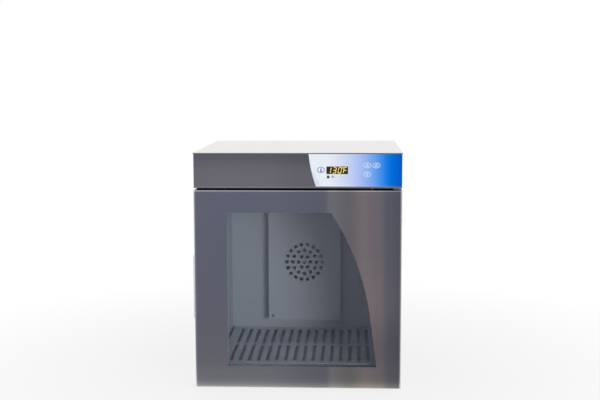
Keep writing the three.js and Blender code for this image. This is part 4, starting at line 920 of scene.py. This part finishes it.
def make_speaker_icon():
    place = on_film(SPEAKER)
    bm = bmesh.new()
    upper = [(SPEAKER_MOUTH, SPEAKER_HALF_MOUTH), (SPEAKER_WAIST, SPEAKER_HALF_BACK),
             (SPEAKER_BACK, SPEAKER_HALF_BACK)]
    lower = [(x, -y) for x, y in reversed(upper)]
    plate(bm, place, lower + upper, PRINT_HEIGHT)
    for radius in SOUND_RADII:
        wave = arc((SPEAKER_MOUTH, 0), (radius, radius), -SOUND_HALF_ANGLE, SOUND_HALF_ANGLE, SIGN_STEPS)
        stroke(bm, place, wave, SIGN_LINE, PRINT_HEIGHT)
    make_piece("speaker_icon", bm, "ink_grey", "cabinet")


def arrow_outline():
    return [(-ARROW_HALF_WIDTH, ARROW_FOOT), (ARROW_HALF_WIDTH, ARROW_FOOT), (0, ARROW_TIP)]


def bell_outline():
    """A bell: a round crown, straight sides and a flared foot."""
    crown = arc((0, BELL_CROWN_RISE), BELL_CROWN, 0, 180, SIGN_STEPS)
    right = [BELL_FOOT, BELL_WAIST]
    left = [(-x, y) for x, y in right]
    return [left[0], *right, *crown, left[1]]


def make_key_legends():
    """A ring and a sign on each key, which travel with it."""
    signs = {
        "key_up": arrow_outline(),
        "key_down": [(-x, -y) for x, y in arrow_outline()],
        "key_mode": bell_outline(),
    }
    for key, sign in signs.items():
        low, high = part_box(key)
        place = facing(((low.x + high.x) / 2, low.y, (low.z + high.z) / 2), FRONT)
        bm = bmesh.new()
        stroke(bm, place, ellipse((0, 0), KEY_RING), KEY_LINE, PRINT_HEIGHT, closed=True)
        stroke(bm, place, sign, KEY_LINE, PRINT_HEIGHT, closed=True)
        make_piece(key + "_legend", bm, "ink_pale", key)


# Screws, and the inlet's blades


def make_screws(name, body, places, size):
    bm = bmesh.new()
    for place in places:
        screw(bm, place, size)
    make_piece(name, bm, "plain_steel", body)


def evenly(start, end, count):
    return [start + (end - start) * i / (count - 1) for i in range(count)]


def make_rear_screws():
    """Screws all round the rear cover's edge."""
    low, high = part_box("rear_cover")
    xs = evenly(low.x + REAR_SCREW_MARGIN, high.x - REAR_SCREW_MARGIN, REAR_SCREW_ROW)
    zs = evenly(low.z + REAR_SCREW_MARGIN, high.z - REAR_SCREW_MARGIN, REAR_SCREW_COLUMN)
    spots = [(x, z) for x in xs for z in zs if x in (xs[0], xs[-1]) or z in (zs[0], zs[-1])]
    places = [facing((x, high.y, z), REAR) for x, z in spots]
    make_screws("rear_cover_screws", "cabinet", places, REAR_SCREW)


def make_inlet_screws():
    low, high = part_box("power_inlet")
    level = (low.z + high.z) / 2
    spots = (low.x + INLET_SCREW_MARGIN, high.x - INLET_SCREW_MARGIN)
    places = [facing((x, high.y, level), REAR) for x in spots]
    make_screws("inlet_screws", "cabinet", places, SMALL_SCREW)


def make_inlet_blades():
    """Three flat blades with tapered tips, standing on the socket's floor."""
    low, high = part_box("power_inlet")
    middle = (low + high) / 2
    floor = high.y - INLET_DEPTH
    section = rectangle(BLADE_HALF_WIDTH, BLADE_HALF_HEIGHT)
    tip = [(BLADE_TIP[0] * x, BLADE_TIP[1] * y) for x, y in section]
    bm = bmesh.new()
    for x, z in BLADE_SPOTS:
        place = facing((middle.x + x, floor, middle.z + z), REAR)
        levels = ((section, 0), (section, BLADE_SHOULDER), (tip, BLADE_LENGTH))
        loops = [loop(bm, place, outline, level) for outline, level in levels]
        for a, b in zip(loops, loops[1:]):
            walls(bm, a, b)
        bm.faces.new(loops[0])
        bm.faces.new(loops[-1])
    make_piece("inlet_blades", bm, "plain_steel", "cabinet")


def make_hinge_screws():
    for edge in ("top", "bottom"):
        low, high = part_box("hinge_bracket_" + edge)
        middle = (low.x + high.x) / 2
        base = low.z if edge == "top" else high.z - HINGE_LEAF_HEIGHT
        front = high.y - HINGE_LEAF
        places = [facing((middle, front, base + rise), FRONT) for rise in HINGE_SCREW_RISES]
        make_screws("hinge_screws_" + edge, "cabinet", places, HINGE_SCREW)


def make_catch_screws():
    """Two screws in each magnet and in each strike."""
    for level in ("upper", "lower"):
        for node, body, out in (("magnet_", "cabinet", FRONT), ("strike_", "door", REAR)):
            low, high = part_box(node + level)
            middle = (low + high) / 2
            y = low.y if out is FRONT else high.y
            rises = (middle.z - CATCH_SCREW_OFFSET, middle.z + CATCH_SCREW_OFFSET)
            places = [facing((middle.x, y, z), out) for z in rises]
            make_screws(node + level + "_screws", body, places, FLUSH_SCREW)


def make_duct_screws():
    low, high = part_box("duct_cover")
    xs = (low.x + DUCT_SCREW_MARGIN, high.x - DUCT_SCREW_MARGIN)
    zs = (low.z + DUCT_SCREW_MARGIN, high.z - DUCT_SCREW_MARGIN)
    places = [facing((x, low.y, z), FRONT) for x in xs for z in zs]
    make_screws("duct_screws", "cabinet", places, DUCT_SCREW)


def make_pull_screws():
    low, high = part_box("edge_pull")
    leaf = high.x - PULL_LEAF
    depth = high.y - PULL_SCREW_MARGIN
    middle = (low.z + high.z) / 2
    places = [facing((leaf, depth, middle + k * PULL_SCREW_PITCH), LEFT) for k in (-1, 0, 1)]
    make_screws("pull_screws", "door", places, PULL_SCREW)


def make_foot_screws():
    """A screw up in each foot's recess."""
    places = []
    for name in ("front_left", "front_right", "rear_left", "rear_right"):
        low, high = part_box("foot_" + name)
        middle = (low + high) / 2
        places.append(facing((middle.x, middle.y, low.z + FOOT_RECESS), DOWN, (0, 1, 0)))
    make_screws("foot_screws", "cabinet", places, FOOT_SCREW)


# Stage


def make_world():
    """White to the eye on every side. Metal sees a white sweep too, and a dim room straight in front."""
    world = bpy.data.worlds.new("studio")
    world.use_nodes = True
    bpy.context.scene.world = world
    sky = Nodes(world.node_tree)
    sky.tree.nodes.clear()
    axes = sky.axes(sky.add("TexCoord").outputs["Generated"])
    ahead = sky.spread(axes["Y"], 1, 0, ROOM_FULL, ROOM_GONE, "SMOOTHSTEP")
    below = sky.spread(axes["Z"], 1, 0, CEILING_START, CEILING_FULL, "SMOOTHSTEP")
    white = sky.add("Background", {"Color": rgba(WHITE)}).outputs["Background"]
    ambient = sky.add("Background", {"Color": rgba(WHITE), "Strength": AMBIENT}).outputs["Background"]
    room = sky.add("Background", {"Color": rgba(ROOM_COLOR)}).outputs["Background"]
    metal = sky.either(sky.math("MULTIPLY", ahead, below), white, room)
    light = sky.either(sky.mirrored(), ambient, metal)
    sky.add("OutputWorld", {"Surface": sky.either(sky.seen(), light, white)})


def floor_finish():
    """Pale, and white of itself far off, with the cabinet's shadow. To metal it is dim in front."""
    f = Finish("floor")
    place = f.place()
    reach = f.add("VectorMath", {0: place}, operation="LENGTH").outputs["Value"]
    depth = f.axes(place)["Y"]
    matte = f.add("BsdfDiffuse", {"Color": rgba(FLOOR_COLOR)}).outputs["BSDF"]
    white = f.add("Emission", {"Color": rgba(WHITE)}).outputs["Emission"]
    dim = f.add("Emission", {"Color": rgba(ROOM_COLOR)}).outputs["Emission"]
    far = f.spread(reach, FLOOR_WHITE_NEAR, 1, SHADOW_NEAR, SHADOW_FAR)
    front = f.spread(depth, 1, 0, FRONT_FLOOR_FAR, FRONT_FLOOR_NEAR)
    plain = f.math("MAXIMUM", f.seen(), f.mirrored())
    pale = f.either(f.math("MULTIPLY", plain, far), matte, white)
    f.surface(f.either(f.math("MULTIPLY", f.mirrored(), front), pale, dim))
    return f.material


def make_floor():
    bm = bmesh.new()
    bmesh.ops.create_circle(bm, cap_ends=True, radius=FLOOR_RADIUS, segments=FLOOR_SIDES)
    mesh = bpy.data.meshes.new("floor")
    bm.to_mesh(mesh)
    bm.free()
    mesh.materials.append(floor_finish())
    floor = bpy.data.objects.new("floor", mesh)
    bpy.context.scene.collection.objects.link(floor)


def make_lamps():
    """Each lamp by its place, width and power. Metal and glass mirror the white sweep, not the lamps."""
    for name, place, size, power in LAMPS:
        light = bpy.data.lights.new(name, "AREA")
        light.shape = "DISK"
        light.size = size
        light.energy = power
        lamp = bpy.data.objects.new(name, light)
        lamp.location = place
        lamp.visible_glossy = False
        aim = Vector(LAMP_AIM) - Vector(place)
        lamp.rotation_euler = aim.to_track_quat("-Z", "Y").to_euler()
        bpy.context.scene.collection.objects.link(lamp)


def make_camera():
    camera = bpy.data.cameras.new("camera")
    camera.sensor_width = SENSOR_MM
    camera.lens = SENSOR_MM * FOCAL_PIXELS / IMAGE_WIDTH
    forward = Vector((math.sin(CAMERA_YAW) * math.cos(CAMERA_PITCH),
                      math.cos(CAMERA_YAW) * math.cos(CAMERA_PITCH),
                      math.sin(CAMERA_PITCH)))
    turn = forward.to_track_quat("-Z", "Y").to_matrix() @ Matrix.Rotation(CAMERA_ROLL, 3, "Z")
    obj = bpy.data.objects.new("camera", camera)
    obj.matrix_world = Matrix.Translation(CAMERA_PLACE) @ turn.to_4x4()
    bpy.context.scene.collection.objects.link(obj)
    bpy.context.scene.camera = obj


dress_frame()
make_gasket()
make_readout()
make_thermometer_icon()
make_padlock_icon()
make_speaker_icon()
make_key_legends()
make_rear_screws()
make_inlet_screws()
make_inlet_blades()
make_hinge_screws()
make_catch_screws()
make_duct_screws()
make_pull_screws()
make_foot_screws()

make_world()
make_floor()
make_lamps()
make_camera()
bpy.context.scene.view_settings.view_transform = "Standard"
